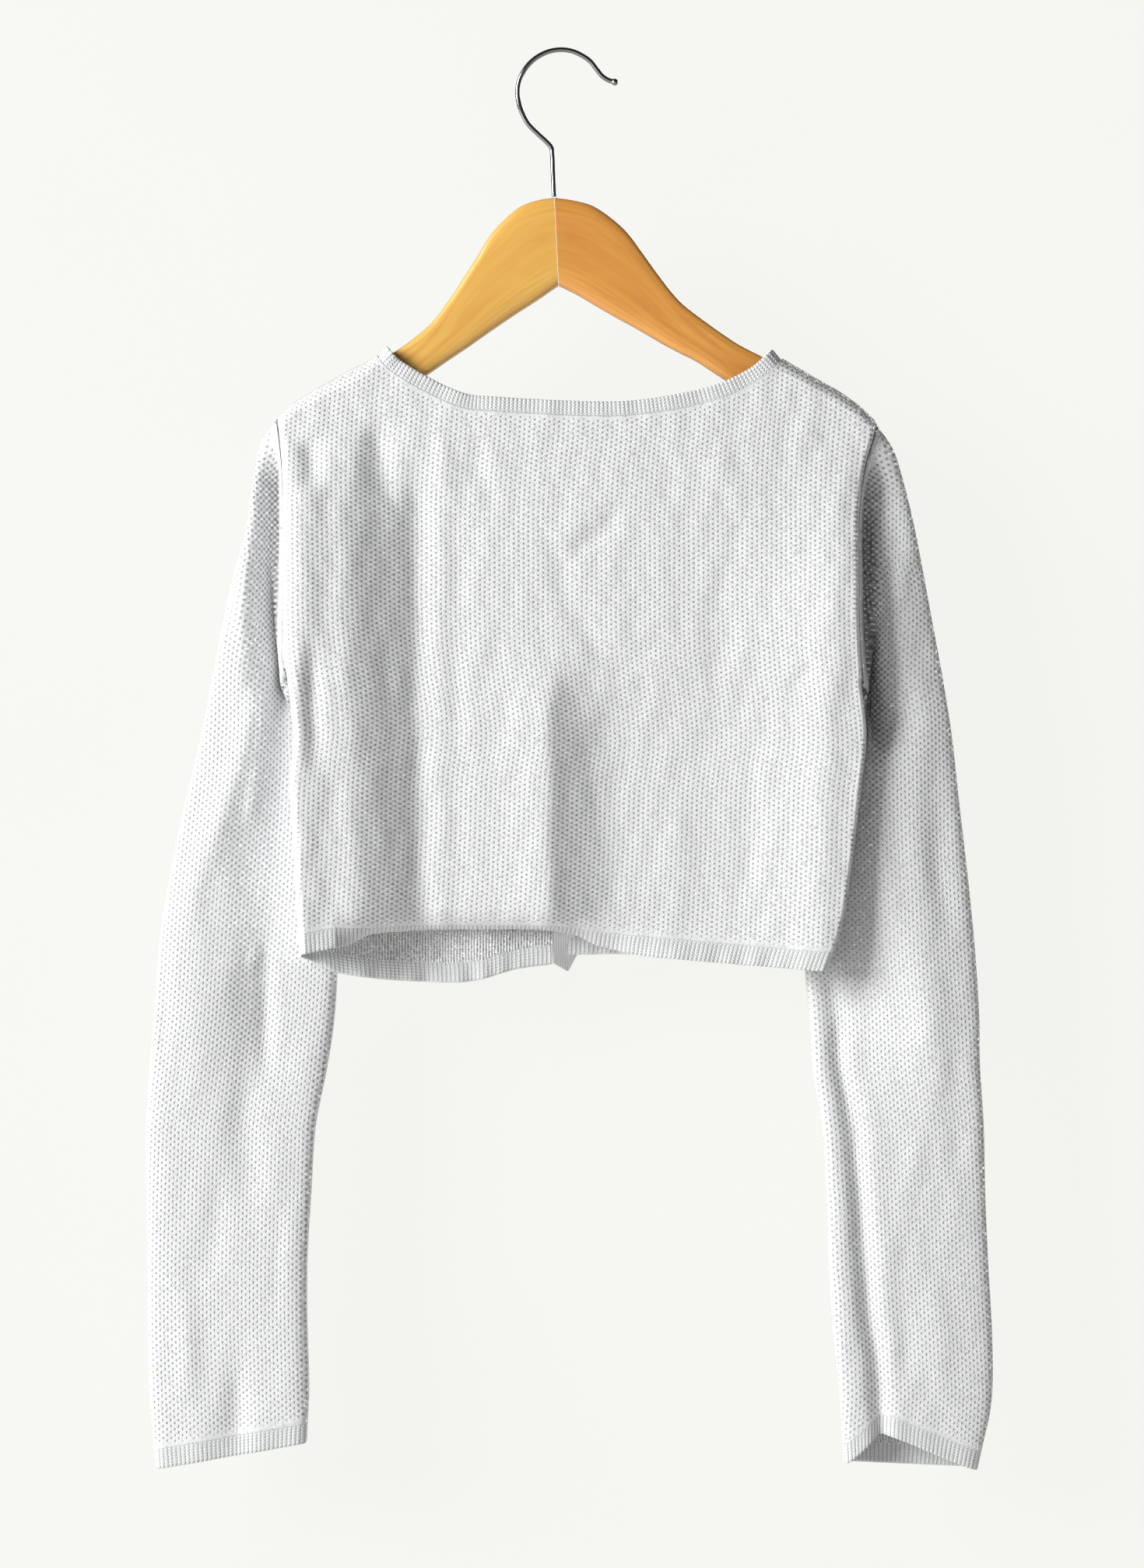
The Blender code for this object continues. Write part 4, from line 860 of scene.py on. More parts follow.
RIGHT_SLEEVE = (
    # outer_x, outer_z, inner_x, inner_z, outer_y, inner_y, half
    (188.1, -222.8, 177.4, -367.9, 0.5, 3, 9),
    (193.1, -235.3, 177, -371.4, 1.5, 8, 9),
    (198.5, -253.3, 174.6, -376.4, 2.5, 12.5, 9),
    (203.8, -275.9, 170.3, -382.7, 3.5, 15.5, 9),
    (208.3, -298.4, 164.8, -390.4, 4.5, 17.5, 8.5),
    (214.2, -329.9, 158, -399.2, 5.5, 18.5, 8),
    (220.1, -361.4, 153.5, -413.1, 6.5, 18.5, 8),
    (225.5, -395.1, 149, -434.2, 7, 18.5, 8),
    (230, -435.6, 145.3, -460.4, 7.5, 18.5, 8),
    (234.5, -473.9, 143.6, -491.9, 8, 18.5, 8),
    (238.5, -514.4, 142.7, -523.4, 8, 18.5, 8),
    (241.2, -554.9, 145.6, -559.4, 8, 17, 8),
    (241.7, -586.4, 147.2, -588.6, 8, 13.5, 8),
    (243.9, -622.4, 152.6, -622.4, 8, 10.5, 8),
    (244.8, -662.9, 155, -660.6, 8, 9, 8),
    (246.6, -703.4, 156.2, -698.9, 8, 8, 8),
    (248.8, -743.9, 158.4, -737.1, 8, 8, 8),
    (248.4, -779.9, 162.2, -773.1, 8, 8, 8),
    (242.6, -808.6, 164.2, -805.1, 8, 8, 8),
)
SLEEVE_RINGS = (LEFT_SLEEVE, RIGHT_SLEEVE)
SLEEVE_POWER = 7.0      # the flatness of a sleeve's oval
STEP_FROM = (0.20, 0.52)  # share of the width where the inner part steps back
STEP_TO = (0.78, 0.80)
LEAN = (0.0, 2.6)       # how far the outer edge leans back beside the body
LEFT_CREASES = (
    # ring_top, share_top, ring_bottom, share_bottom, rise, width
    (2, 0.80, 9, 0.26, 2.2, 0.10),
    (3, 0.62, 8, 0.62, -1.4, 0.12),
    (10, 0.50, 14, 0.58, -1.2, 0.10),
    (16.5, 0.58, 19, 0.54, -1.5, 0.11),
)
RIGHT_CREASES = (
    # ring_top, share_top, ring_bottom, share_bottom, rise, width
    (2, 0.55, 9, 0.66, -2.4, 0.14),
    (10.5, 0.88, 19, 0.74, -4, 0.07),
    (3, 0.25, 12, 0.30, 1.6, 0.14),
)
LONG_CREASES = (LEFT_CREASES, RIGHT_CREASES)
NOTCH_SHARE = 0.74      # where across the right cuff its near edge peaks
NOTCH_RISE = 20.0
NOTCH_FROM_RING = 16.0
# Small creases of the sleeves' near and far faces, as strokes on them.
LEFT_NEAR = (
    # x_start, z_start, x_end, z_end, rise, half_width
    (-166, -336, -176, -414, 1.8, 3),
    (-174, -400, -182, -452, 1.5, 3.5),
    (-180, -224, -186, -352, 5, 6),
    (-172, -504, -171, -606, -1.8, 5),
    (-175.5, -514, -180.5, -532, 1.2, 2),
    (-229, -486, -231, -600, -1.3, 4),
    (-188, -756, -186, -812, -1, 6),
    (-206, -430, -216, -520, 0.9, 7),
    (-196, -640, -204, -720, -0.8, 7),
    (-162, -660, -166, -740, -0.8, 5),
    (-218, -700, -214, -780, 0.8, 6),
)
RIGHT_NEAR = (
    # x_start, z_start, x_end, z_end, rise, half_width
    (214, -420, 222, -520, -0.9, 7),
    (206, -340, 212, -430, 0.9, 7),
    (228, -560, 230, -680, -0.6, 7),
    (202, -560, 208, -660, 0.4, 8),
    (216, -700, 222, -790, 0.8, 7),
    (166, -560, 170, -640, 0.9, 4),
    (196, -700, 200, -780, -0.8, 6),
)
LEFT_FAR = (
    # x_start, z_start, x_end, z_end, rise, half_width
    (-184, -260, -170, -380, -1.6, 7),
    (-204, -380, -190, -500, 1.4, 8),
    (-168, -500, -180, -620, -1.6, 7),
    (-216, -560, -206, -700, -1.2, 7),
    (-184, -690, -190, -800, 1.2, 7),
)
RIGHT_FAR = (
    # x_start, z_start, x_end, z_end, rise, half_width
    (204, -262, 190, -390, -1.6, 7),
    (222, -390, 206, -520, 1.4, 8),
    (186, -500, 196, -630, -1.6, 7),
    (232, -580, 220, -720, -1.2, 7),
    (190, -680, 204, -800, 1.3, 7),
)
NEAR_CREASES = (LEFT_NEAR, RIGHT_NEAR)
FAR_CREASES = (LEFT_FAR, RIGHT_FAR)
# The trough just outside the armhole, where the sleeve drops behind the body.
TROUGHS = (
    # z_top, z_bottom, drop, near_width, far_width
    (-222, -386, 11, 0.5, 13),
    (-228, -410, 11, 0.7, 21),
)
# Painted shade on the sleeve beside the body, which shades it: its heights and how far out it
# reaches.
SHADE_BESIDE_BODY = (
    # z_top, z_foot, reach
    (-226, -430, 17), (-228, -510, 14),
)
DEEPEST_SHADE = (0.0, 1.35)  # painted shadow deep in the trough, beside the body
DEEP_SHADE_REACH = 18.0       # and how far out from the armhole that goes
FAR_TROUGH = 0.15       # the trough's share on the far face
PLAIN_SLEEVE = 4.6      # plain strip of the sleeve along the armhole
PLAIN_DROP = 2.0        # the same where the trough's wall drops
SLEEVE_ROW_DARK = (FAINT, DARK)
SLEEVE_SIDES = 124
SLEEVE_ROWS = 236
sleeve_knit = tuck_knit("tuck_knit_sleeve_grey_lurex", wale=2.25, course=3.46)


def sleeve_surface(side, ring, angle):
    """Middle of a sleeve's wall.  A ring is a flattened oval from its outer
    to its inner end, whose inner part steps back behind the body; angle 0 is
    the outer end, a quarter turn on is the near face, half is the inner end.
    Creases and unevenness push the near and far faces in or out, and a
    trough, the difference of two bells, follows the armhole."""
    out = -ARMHOLE_GAP if side == 0 else ARMHOLE_GAP
    first = (float(edge_x(side, TIP_Z[side])) + out, TIP_Z[side],
             float(edge_x(side, UNDERARM_Z[side])) + out, UNDERARM_Z[side],
             0.0, 0.0, ARMHOLE_HALF_DEPTH)
    rows = np.array([first, *SLEEVE_RINGS[side]])
    number = np.arange(len(rows), dtype=float)
    outer_x, outer_z, inner_x, inner_z, outer_y, inner_y, half = [
        smooth(number, rows[:, i], ring) for i in range(7)]
    across = np.cos(angle)
    near = np.maximum(np.sin(angle), 0.0) ** 0.5
    far = np.maximum(-np.sin(angle), 0.0) ** 0.5
    share = (1 - across) / 2
    x = outer_x + (inner_x - outer_x) * share
    z = outer_z + (inner_z - outer_z) * share
    start = STEP_FROM[side] + (STEP_FROM[0] - STEP_FROM[side]) * ease((ring - 9) / 4)
    y = outer_y + (inner_y - outer_y) * ease((share - start) / (STEP_TO[side] - start))
    beside = ease((ring - 1) / 5) * ease((14 - ring) / 5)
    y = y + LEAN[side] * ease(1 - share / 0.75) * beside
    oval_y = (1 - np.abs(across) ** SLEEVE_POWER) ** (1 / SLEEVE_POWER)
    y = y - np.sign(np.sin(angle)) * half * oval_y
    x = x + (edge_x(side, z) + out - x) * np.clip(1 - ring / 2, 0, 1) ** 2
    for ring_top, share_top, ring_bottom, share_bottom, rise, width in LONG_CREASES[side]:
        along = (ring - ring_top) / (ring_bottom - ring_top)
        middle = share_top + (share_bottom - share_top) * along
        fade = ease((ring - ring_top) / 2) * ease((ring_bottom + 2 - ring) / 2)
        y = y - rise * fade * near * np.exp(-((share - middle) / width) ** 2)
    if side == 1:
        climb = np.minimum(share / NOTCH_SHARE, (1 - share) / (1 - NOTCH_SHARE))
        grown = ease((ring - NOTCH_FROM_RING) / (len(rows) - 1 - NOTCH_FROM_RING))
        z = z + NOTCH_RISE * climb * near * grown
    started = ease(ring / 2)
    uneven = unevenness(x, z, seed=31 + side, height=0.16, length=19.0)
    y = y - started * near * (creases(NEAR_CREASES[side], x, z) + uneven)
    y = y + started * far * (creases(FAR_CREASES[side], x, z) + uneven)
    z_top, z_bottom, drop, near_width, far_width = TROUGHS[side]
    off = np.abs(edge_x(side, z) + out - x)
    trough = np.exp(-(off / far_width) ** 2) - np.exp(-(off / near_width) ** 2)
    trough = trough * ease((z_top - z) / 28.0) * ease((z - z_bottom) / 30.0)
    y = y + (1 - (1 - FAR_TROUGH) * far) * drop * np.maximum(trough, 0.0) * (z > z_bottom)
    return np.stack(np.broadcast_arrays(x, y, z), axis=-1)


def sleeve_places(side, points):
    """Places on the unrolled sleeve.  Down it, the height; across it, each
    step round a ring less the lean of the sleeve's axis, added up from the
    middle of the near face both ways, so the ends meet at the inner edge."""
    rows = np.array(SLEEVE_RINGS[side])
    middle_x = (rows[:, 0] + rows[:, 2]) / 2
    middle_z = (rows[:, 1] + rows[:, 3]) / 2
    loop = np.concatenate([points, points[:1]])
    upright = loop[..., 0] - np.interp(-loop[..., 2], -middle_z, middle_x)
    across = np.hypot(np.diff(upright, axis=0), np.diff(loop[..., 1], axis=0))
    u = np.concatenate([np.zeros((1, points.shape[1])), np.cumsum(across, axis=0)])
    quarter = len(points) // 4
    sign = 1.0 if side == 0 else -1.0
    u = u - u[quarter] + sign * upright[quarter]
    return np.stack([u, loop[..., 2]], axis=-1)


def sleeve_plain(side, points):
    """Mark of the sleeve's patterned field: plain along the armhole, on the
    trough's wall down to the underarm, and along the cuff's seam."""
    z = points[..., 2]
    from_seam = np.linalg.norm(points - points[:, :1], axis=-1)
    to_cuff = np.linalg.norm(points - points[:, -1:], axis=-1)
    out = np.abs(points[..., 0] - edge_x(side, z))
    drop_wall = np.where(z > UNDERARM_Z[side] - INSET_ABOVE, out, 99.0)
    return field_mark((from_seam, PLAIN_SLEEVE, SLEEVE_ROW_DARK[side] * seam_shows(z)),
                      (drop_wall, PLAIN_DROP, 0.0), (to_cuff, PLAIN_SEAM, FAINT))


def sleeve_shade(side, points, normals):
    """Painted shade on the sleeve's knit: a bell about the body's edge, which
    shades it, that starts just outside it and fades at both ends, painted
    shadow deep in the trough, and painted shade on the folds as elsewhere."""
    z = points[..., 2]
    out = np.abs(points[..., 0] - edge_x(side, z))
    top, foot, reach = SHADE_BESIDE_BODY[side]
    start = 1.6 + 1.4 * ease((-320 - z) / 30)
    beside = (np.exp(-(out / reach) ** 2) * ease((out - start) / 1.6)
              * ease((top - z) / 25) * ease((z - foot) / 150))
    deep = (DEEPEST_SHADE[side] * ease((DEEP_SHADE_REACH - out) / 12)
            * ease((-235 - z) / 50) * ease((z + 420) / 60))
    return np.maximum(beside, np.maximum(deep, fold_shade(normals)))


sleeve_grids = []
for side, name in enumerate(("left", "right")):
    ring = crowded_first(SLEEVE_ROWS, 0.5) * len(SLEEVE_RINGS[side])
    angle = 2 * math.pi * np.arange(SLEEVE_SIDES) / SLEEVE_SIDES
    points = sleeve_surface(side, ring[None, :], angle[:, None])
    middle = points.mean(axis=0, keepdims=True)
    normals = grid_normals(points, points - middle, closed=True)
    normals[:, 0, 0] = 0.0
    normals = unit(normals)
    sleeve_grids.append((points, normals))
    sleeve = knitted_wall(f"sleeve_{name}_tube", points, normals,
                          sleeve_places(side, points), sleeve_plain(side, points),
                          [sleeve_knit, inner_knit], closed=True,
                          painted_shade=sleeve_shade(side, points, normals))
    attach(sleeve, "root")
    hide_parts(f"sleeve_{name}_upper_arm", f"sleeve_{name}_lower_arm")


# ======================================= neckband, hem bands and cuffs in rib
# Narrow bands of one-and-one rib in the same yarn, linked to the panels' edges
# so that they draw them in slightly.  The ribs stand up as small round cords,
# and the free edge is scalloped by them.

HEM_RIB_PITCH = 2.5
NECK_RIB_PITCH = 2.4
HEM_DEPTH = 10.5
NECK_DEPTH = 7.2
RIB_RISE = 0.26
STITCH_LENGTH = 1.7     # of one arrowhead along a rib
RIB_STEPS = 8           # columns of points to a rib
BAND_ACROSS = 9         # rows from the seam to the free edge
EDGE_STEPS = 3          # rows round the free edge
BAND_ROLL = 74.0        # degrees that the hem band goes on turning in the roll


def rib_knit(name, pitch):
    """One-and-one rib: each rib is a column of small V-shaped stitches, so
    fine arrowheads run along it, and the furrows are painted darker as shade."""
    material, tree, shader, place = new_material(name)
    parts = add_node(tree, "SeparateXYZ", {0: place})
    lane = add_node(tree, "Math", {0: parts.outputs[0], 1: pitch}, operation="DIVIDE")
    lane = add_node(tree, "Math", {0: lane, 1: 0.5}, operation="PINGPONG")
    along = add_node(tree, "Math", {0: parts.outputs[1], 1: 1 / STITCH_LENGTH, 2: lane},
                     operation="MULTIPLY_ADD")
    heads = wave(tree, along, pitch=1.0)
    # painted shade: the mark is 1 on the cords and falls to 0 in the furrows, which take a
    # darker grey
    rib = add_node(tree, "Attribute", attribute_name="plain").outputs["Fac"]
    fibre, yarn = fibres(tree, place, lumps=1.7, detail=2.0, dull="#CDCED0", bright="#E5E5E6")
    yarn = add_node(tree, "Mix", {0: rib, 6: linear("#8F9195"), 7: yarn}, data_type="RGBA")
    glint, _ = glints(tree, place, size=0.7, rarity=0.92)
    rough = add_node(tree, "MapRange", {"Value": glint, "To Min": 0.72, "To Max": 0.3})
    height = add_node(tree, "Math", {0: heads, 1: 0.5, 2: fibre}, operation="MULTIPLY_ADD")
    finish_knit(tree, shader, yarn, rough, height, strength=0.6, depth=0.0004)
    return material


def evenly(parts, count, closed):
    """Frames taken again at even steps along their line."""
    if closed:
        parts = [np.concatenate([p, p[:1]]) for p in parts]
    run = np.linalg.norm(np.diff(parts[0], axis=0), axis=1)
    run = np.concatenate([[0.0], np.cumsum(run)])
    at = np.linspace(0.0, run[-1], count + 1)
    at = at[:-1] if closed else at
    taken = [np.stack([np.interp(at, run, part[:, i]) for i in range(3)], axis=-1)
             for part in parts]
    return taken[0], unit(taken[1]), unit(taken[2]), at


def ribbed_band(name, line, normals, across, width, pitch, materials, turn=0.0,
                closed=False):
    """Band along a seam line.  Its middle leaves the seam in the direction
    across and turns inwards by the angle turn over its width; the wall's
    middle is waved by the ribs, and its section is a loop of points out along
    the outer side, round the free edge and back along the inner side."""
    length = np.linalg.norm(np.diff(line, axis=0), axis=1).sum()
    if closed:
        length = length + np.linalg.norm(line[0] - line[-1])
    ribs = int(round(length / pitch))
    count = ribs * RIB_STEPS
    line, normals, across, run = evenly([line, normals, across], count, closed)
    if callable(turn):
        turn = turn(line[:, 0])
    turn = np.broadcast_to(turn, (len(line),))
    drift = 0.12 * np.sin(run / 9.0) + 0.1 * np.sin(run / 23.0 + 1.0)
    cords = np.abs(np.cos(math.pi * (run / length * ribs + drift))) ** 0.8
    reach = width + 0.4 * (cords - 0.5)
    s = np.linspace(0.0, 1.0, BAND_ACROSS)
    bend = np.radians(turn)[:, None] * s[None, :]
    ahead = reach[:, None] * s * np.sinc(bend / math.pi)
    inwards = reach[:, None] * s * np.sin(bend / 2) * np.sinc(bend / 2 / math.pi)
    lift = RIB_RISE * (cords[:, None] - 0.6) * ease(s * 5)[None, :]
    axis_out = (np.cos(bend)[..., None] * normals[:, None]
                + np.sin(bend)[..., None] * across[:, None])
    axis_on = (np.cos(bend)[..., None] * across[:, None]
               - np.sin(bend)[..., None] * normals[:, None])
    middle = (line[:, None] + ahead[..., None] * across[:, None]
              - inwards[..., None] * normals[:, None] + lift[..., None] * axis_out)
    half = CLOTH / 2 - 0.1
    round_edge = np.linspace(0.5, -0.5, EDGE_STEPS + 2)[1:-1] * math.pi
    edge = (middle[:, -1:] + half * np.sin(round_edge)[None, :, None] * axis_out[:, -1:]
            + half * np.cos(round_edge)[None, :, None] * axis_on[:, -1:])
    section = np.concatenate([middle + half * axis_out, edge,
                              (middle - half * axis_out)[:, ::-1]], axis=1)
    rows = section.shape[1]
    inner_run = reach[:, None] * s
    edge_run = np.repeat(reach[:, None] + 1.0, EDGE_STEPS, axis=1)
    v = np.concatenate([inner_run, edge_run, 2 * reach[:, None] + 2 - inner_run[:, ::-1]],
                       axis=1)
    u = np.repeat((run - drift * pitch)[:, None], rows, axis=1)
    columns = len(line)
    quads = quad_grid(columns, rows, closed)
    seen = quad_grid(columns, rows, closed, wide=True)
    number = np.arange(columns)
    following = (number + 1) % columns if closed else number[:-1] + 1
    back_edge = np.stack([number[:len(following)] * rows + rows - 1,
                          following * rows + rows - 1,
                          following * rows, number[:len(following)] * rows], axis=-1)
    seen_edge = back_edge.copy()
    if closed:
        seen_edge[-1, 1:3] = (columns * rows + rows - 1, columns * rows)
        u = np.concatenate([u, u[:1] + length])
        v = np.concatenate([v, v[:1]])
    quads = np.concatenate([quads, back_edge])
    seen = np.concatenate([seen, seen_edge])
    if not closed:
        inner_row = rows - 1 - np.arange(BAND_ACROSS)
        outer_row = np.arange(BAND_ACROSS)
        for end in (0, columns - 1):
            cap = np.stack([end * rows + outer_row[:-1], end * rows + outer_row[1:],
                            end * rows + inner_row[1:], end * rows + inner_row[:-1]],
                           axis=-1)
            tip = end * rows + BAND_ACROSS - 1
            cap = np.concatenate([cap, [[tip, tip + 1, tip + 3, tip + 4]]])
            cap = cap if end else cap[:, ::-1]
            quads = np.concatenate([quads, cap])
            seen = np.concatenate([seen, cap])
    sample = BAND_ACROSS // 2
    quads, seen = turned_out(quads, seen, section.reshape(-1, 3),
                             axis_out[0, sample], sample)
    # painted shade of the furrows between the cords, kept in the plain mark
    shade = np.repeat(ease((cords[:, None] - 0.05) / 0.55), rows, axis=1)
    spots = np.stack([u, v], axis=-1).reshape(-1, 2)
    piece = put_mesh(name, section.reshape(-1, 3), quads, spots, seen,
                     np.zeros(len(quads)), {"plain": shade}, materials)
    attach(piece, "root")
    return piece


def below_seam(points, normals):
    """Frames along a grid's lower edge, going on in its columns' direction."""
    ahead = unit(points[:, -1] - points[:, -3])
    normal = normals[:, -1]
    normal = unit(normal - ahead * np.sum(normal * ahead, axis=-1, keepdims=True))
    return points[:, -1], normal, ahead


def hem_turn(x):
    """Degrees that the back's hem band goes on rolling inwards."""
    return BAND_ROLL * straight(HEM_CURL, x) - 5.0 * (1 - straight(HEM_CURL, x))


def neck_frames():
    """Frames along the neck seam, from the lower front's band round the back
    to the upper front's band: points, normals, and the way across the seam,
    which is square to both."""
    left, right = NECK_CORNERS_X
    parts = []
    for (points, normals), low, high, backwards in (
            (band_grids[0], LOWER_BAND_X[0] + 0.01, 99.0, True),
            (front_grids[0], left, 99.0, True),
            ((back_points, back_normals), left + 0.3, right - 0.3, False),
            (front_grids[1], -99.0, right, False),
            (band_grids[1], -99.0, UPPER_BAND_X[1] - 0.01, True)):
        x = points[:, 0, 0]
        chosen = (x > low) & (x < high)
        step = -1 if backwards else 1
        parts.append((points[chosen, 0][::step], normals[chosen, 0][::step]))
    line = np.concatenate([part[0] for part in parts])
    normals = np.concatenate([part[1] for part in parts])
    for _ in range(6):
        normals[1:-1] = unit(normals[:-2] + normals[1:-1] * 2 + normals[2:])
    ahead = unit(np.gradient(line, axis=0))
    normals = unit(normals - ahead * np.sum(normals * ahead, axis=-1, keepdims=True))
    return line, normals, np.cross(normals, ahead)


rib_material = rib_knit("rib_knit_grey_lurex", HEM_RIB_PITCH)
back_band = ribbed_band("back_hem_rib", *below_seam(back_points, back_normals),
                        HEM_DEPTH, HEM_RIB_PITCH, [rib_material], turn=hem_turn)
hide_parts("back_hem")
for name, grid in zip(("front_left_hem", "front_right_hem"), front_grids):
    hem_band = ribbed_band(name + "_rib", *below_seam(*grid), HEM_DEPTH,
                           HEM_RIB_PITCH, [rib_material], turn=-4.0)
    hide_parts(name)
for name, grid in zip(("cuff_left", "cuff_right"), sleeve_grids):
    cuff = ribbed_band(name + "_rib", *below_seam(*grid), HEM_DEPTH, HEM_RIB_PITCH,
                       [rib_material], closed=True)
    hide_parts(name)
neck_band = ribbed_band("neckband_rib", *neck_frames(), NECK_DEPTH, NECK_RIB_PITCH,
                        [rib_material])
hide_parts("neckband")


# ================================================================ the buttons
# Five small four-hole buttons of grey pearl polyester, turned with a raised
# rim and a dished middle, sewn on the band with grey thread.

BUTTON_X = -9.6
BUTTON_TOP_Z = -272.0
BUTTON_SPACING = 57.0
BUTTON_COUNT = 5
BUTTON_FACE_Y = FRONT_DEPTH + OVERLAP_LIFT + CLOTH / 2 + 0.3
BUTTON_PROFILE = (
    # run, radius, height
    (0, 0, 0.95), (0.25, 2.4, 0.95), (0.38, 3.4, 1.15), (0.5, 4.1, 1.8), (0.6, 4.8, 2),
    (0.72, 5.4, 1.7), (0.82, 5.6, 1.1), (0.92, 5.2, 0.3), (1, 4.6, 0.05),
)
HOLE_OFFSET = 0.95
HOLE_RADIUS = 0.62
HOLE_PIT = 0.85


def button_surface(z):
    """Turned button: a profile carried round its axis, pitted by four holes."""
    run = np.linspace(0.0, 1.0, 44)[None, :]
    turn = (2 * math.pi * np.arange(56) / 56)[:, None]
    radius = np.maximum(curve(BUTTON_PROFILE, run, 1), 0.02)
    height = curve(BUTTON_PROFILE, run, 2)
    x = radius * np.cos(turn)
    up = radius * np.sin(turn)
    hole = np.hypot(np.abs(x) - HOLE_OFFSET, np.abs(up) - HOLE_OFFSET)
    height = height - HOLE_PIT * ease((HOLE_RADIUS + 0.2 - hole) / 0.3) * (run < 0.4)
    return np.stack([BUTTON_X + x, BUTTON_FACE_Y + height, z + up], axis=-1)


def end_ladders(sides, rings):
    """Quads that close both ends of a grid of rings, each a ladder across."""
    ends = []
    for ring in (0, rings - 1):
        rim = np.arange(sides) * rings + ring
        near, far = rim[:sides // 2], rim[::-1][:sides // 2]
        ladder = np.stack([near[:-1], near[1:], far[1:], far[:-1]], axis=-1)
        ends.append(ladder if ring == 0 else ladder[:, ::-1])
    return np.concatenate(ends)


# Pearl polyester: pale swirls under a clear gloss.
pearl, tree, shader, place = new_material("pearl_polyester_grey", on_object=True)
swirl = add_node(tree, "TexNoise", {"Vector": place, "Scale": 240.0, "Detail": 3.0,
                                    "Distortion": 1.5})
tint = add_node(tree, "Mix", {0: swirl, 6: linear("#A9ABB0"), 7: linear("#DADBDE")},
                data_type="RGBA")
feed(tree, shader, {"Base Color": tint, "Roughness": 0.25, "Coat Weight": 0.5})
for number in range(BUTTON_COUNT):
    points = button_surface(BUTTON_TOP_Z - number * BUTTON_SPACING)
    sides, rings = points.shape[:2]
    quads = np.concatenate([quad_grid(sides, rings, closed=True),
                            end_ladders(sides, rings)])
    piece = put_mesh(f"button_{number + 1}_turned", points.reshape(-1, 3), quads,
                     points.reshape(-1, 3)[:, [0, 2]], quads, np.zeros(len(quads)), {},
                     [pearl])
    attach(piece, "root")
    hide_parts(f"button_{number + 1}")


# ================================================================= the hanger
# A small shirt hanger of honey-varnished beech: two arms cut from a board,
# rounded over at their edges and joined in a mitre under the hook.  The grain
# runs along each arm and the right one is a slightly darker board.

LEFT_ARM = (
    # top_x, top_z, bottom_x, bottom_z, half_thickness
    (-4, -84.4, -1.6, -135, 6),
    (-14, -86, -14, -143.6, 6),
    (-23.9, -89.8, -25.2, -150.8, 6),
    (-32.9, -97.2, -36.5, -158.4, 6),
    (-41, -106.2, -46.8, -165.6, 6),
    (-47.7, -117, -54.5, -171, 6),
    (-54.5, -127.8, -62.1, -176, 6),
    (-65.2, -144, -71.1, -182.2, 6),
    (-77, -158.8, -81, -189, 6),
    (-97.2, -174.1, -101.2, -202.5, 5.4),
    (-125.5, -190.9, -131, -221.4, 5),
    (-144.5, -202.4, -150.8, -232.1, 4.6),
    (-152.5, -209.4, -155.6, -230, 3.4),
    (-155.5, -214.6, -156.8, -225, 2),
)
RIGHT_ARM = (
    # top_x, top_z, bottom_x, bottom_z, half_thickness
    (-3.7, -84.4, -1.3, -135, 6),
    (7.7, -86, 9.5, -140.4, 6),
    (18.4, -89.1, 20.2, -146.7, 6),
    (28.8, -95.9, 31.1, -153, 6),
    (38.2, -104.4, 41, -158.4, 6),
    (46.4, -115.2, 50.4, -163.8, 6),
    (54.5, -126.5, 59, -168.8, 6),
    (65.2, -140.4, 69.3, -174.2, 6),
    (75.2, -149.8, 79.7, -179.6, 6),
    (99.9, -167.4, 103, -194.8, 5.8),
    (117.9, -177, 122, -204.3, 5.2),
    (144.5, -191.9, 149, -220.5, 5),
    (163.8, -203.9, 168.7, -231.7, 4.6),
    (171, -210.5, 173.5, -229.7, 3.4),
    (173.8, -216.1, 175, -225.5, 2),
)
ARM_ROUNDING = 0.42     # exponent that squares an arm's oval section
ARM_GIRTH = 60.0        # way round a section that the grain is drawn for
ARM_SIDES = 44
ARM_RINGS = 120


def varnished_beech(name, pale, deep):
    """Beech under a clear honey varnish: warm, with fine darker streaks along
    the grain, broad soft bands, and a smooth gloss that softens highlights."""
    material, tree, shader, place = new_material(name)
    streaks = add_node(tree, "Mapping", {"Vector": place, "Scale": (0.02, 0.9, 1.0)})
    streaks = add_node(tree, "TexNoise", {"Vector": streaks, "Scale": 1.0, "Detail": 5.0,
                                          "Distortion": 0.4}, noise_dimensions="2D")
    bands = add_node(tree, "Mapping", {"Vector": place, "Scale": (0.006, 0.09, 1.0)})
    bands = add_node(tree, "TexNoise", {"Vector": bands, "Scale": 1.0, "Detail": 2.0},
                     noise_dimensions="2D")
    both = add_node(tree, "Math", {0: bands, 1: 0.8, 2: streaks}, operation="MULTIPLY_ADD")
    mixed = add_node(tree, "MapRange", {"Value": both, "From Min": 0.45, "From Max": 1.4})
    tint = add_node(tree, "Mix", {0: mixed, 6: linear(pale), 7: linear(deep)},
                    data_type="RGBA")
    bump = add_node(tree, "Bump", {"Height": streaks, "Strength": 0.25, "Distance": 0.0002})
    feed(tree, shader, {"Base Color": tint, "Roughness": 0.4, "Normal": bump,
                        "Coat Weight": 0.6, "Coat Roughness": 0.18})
    return material


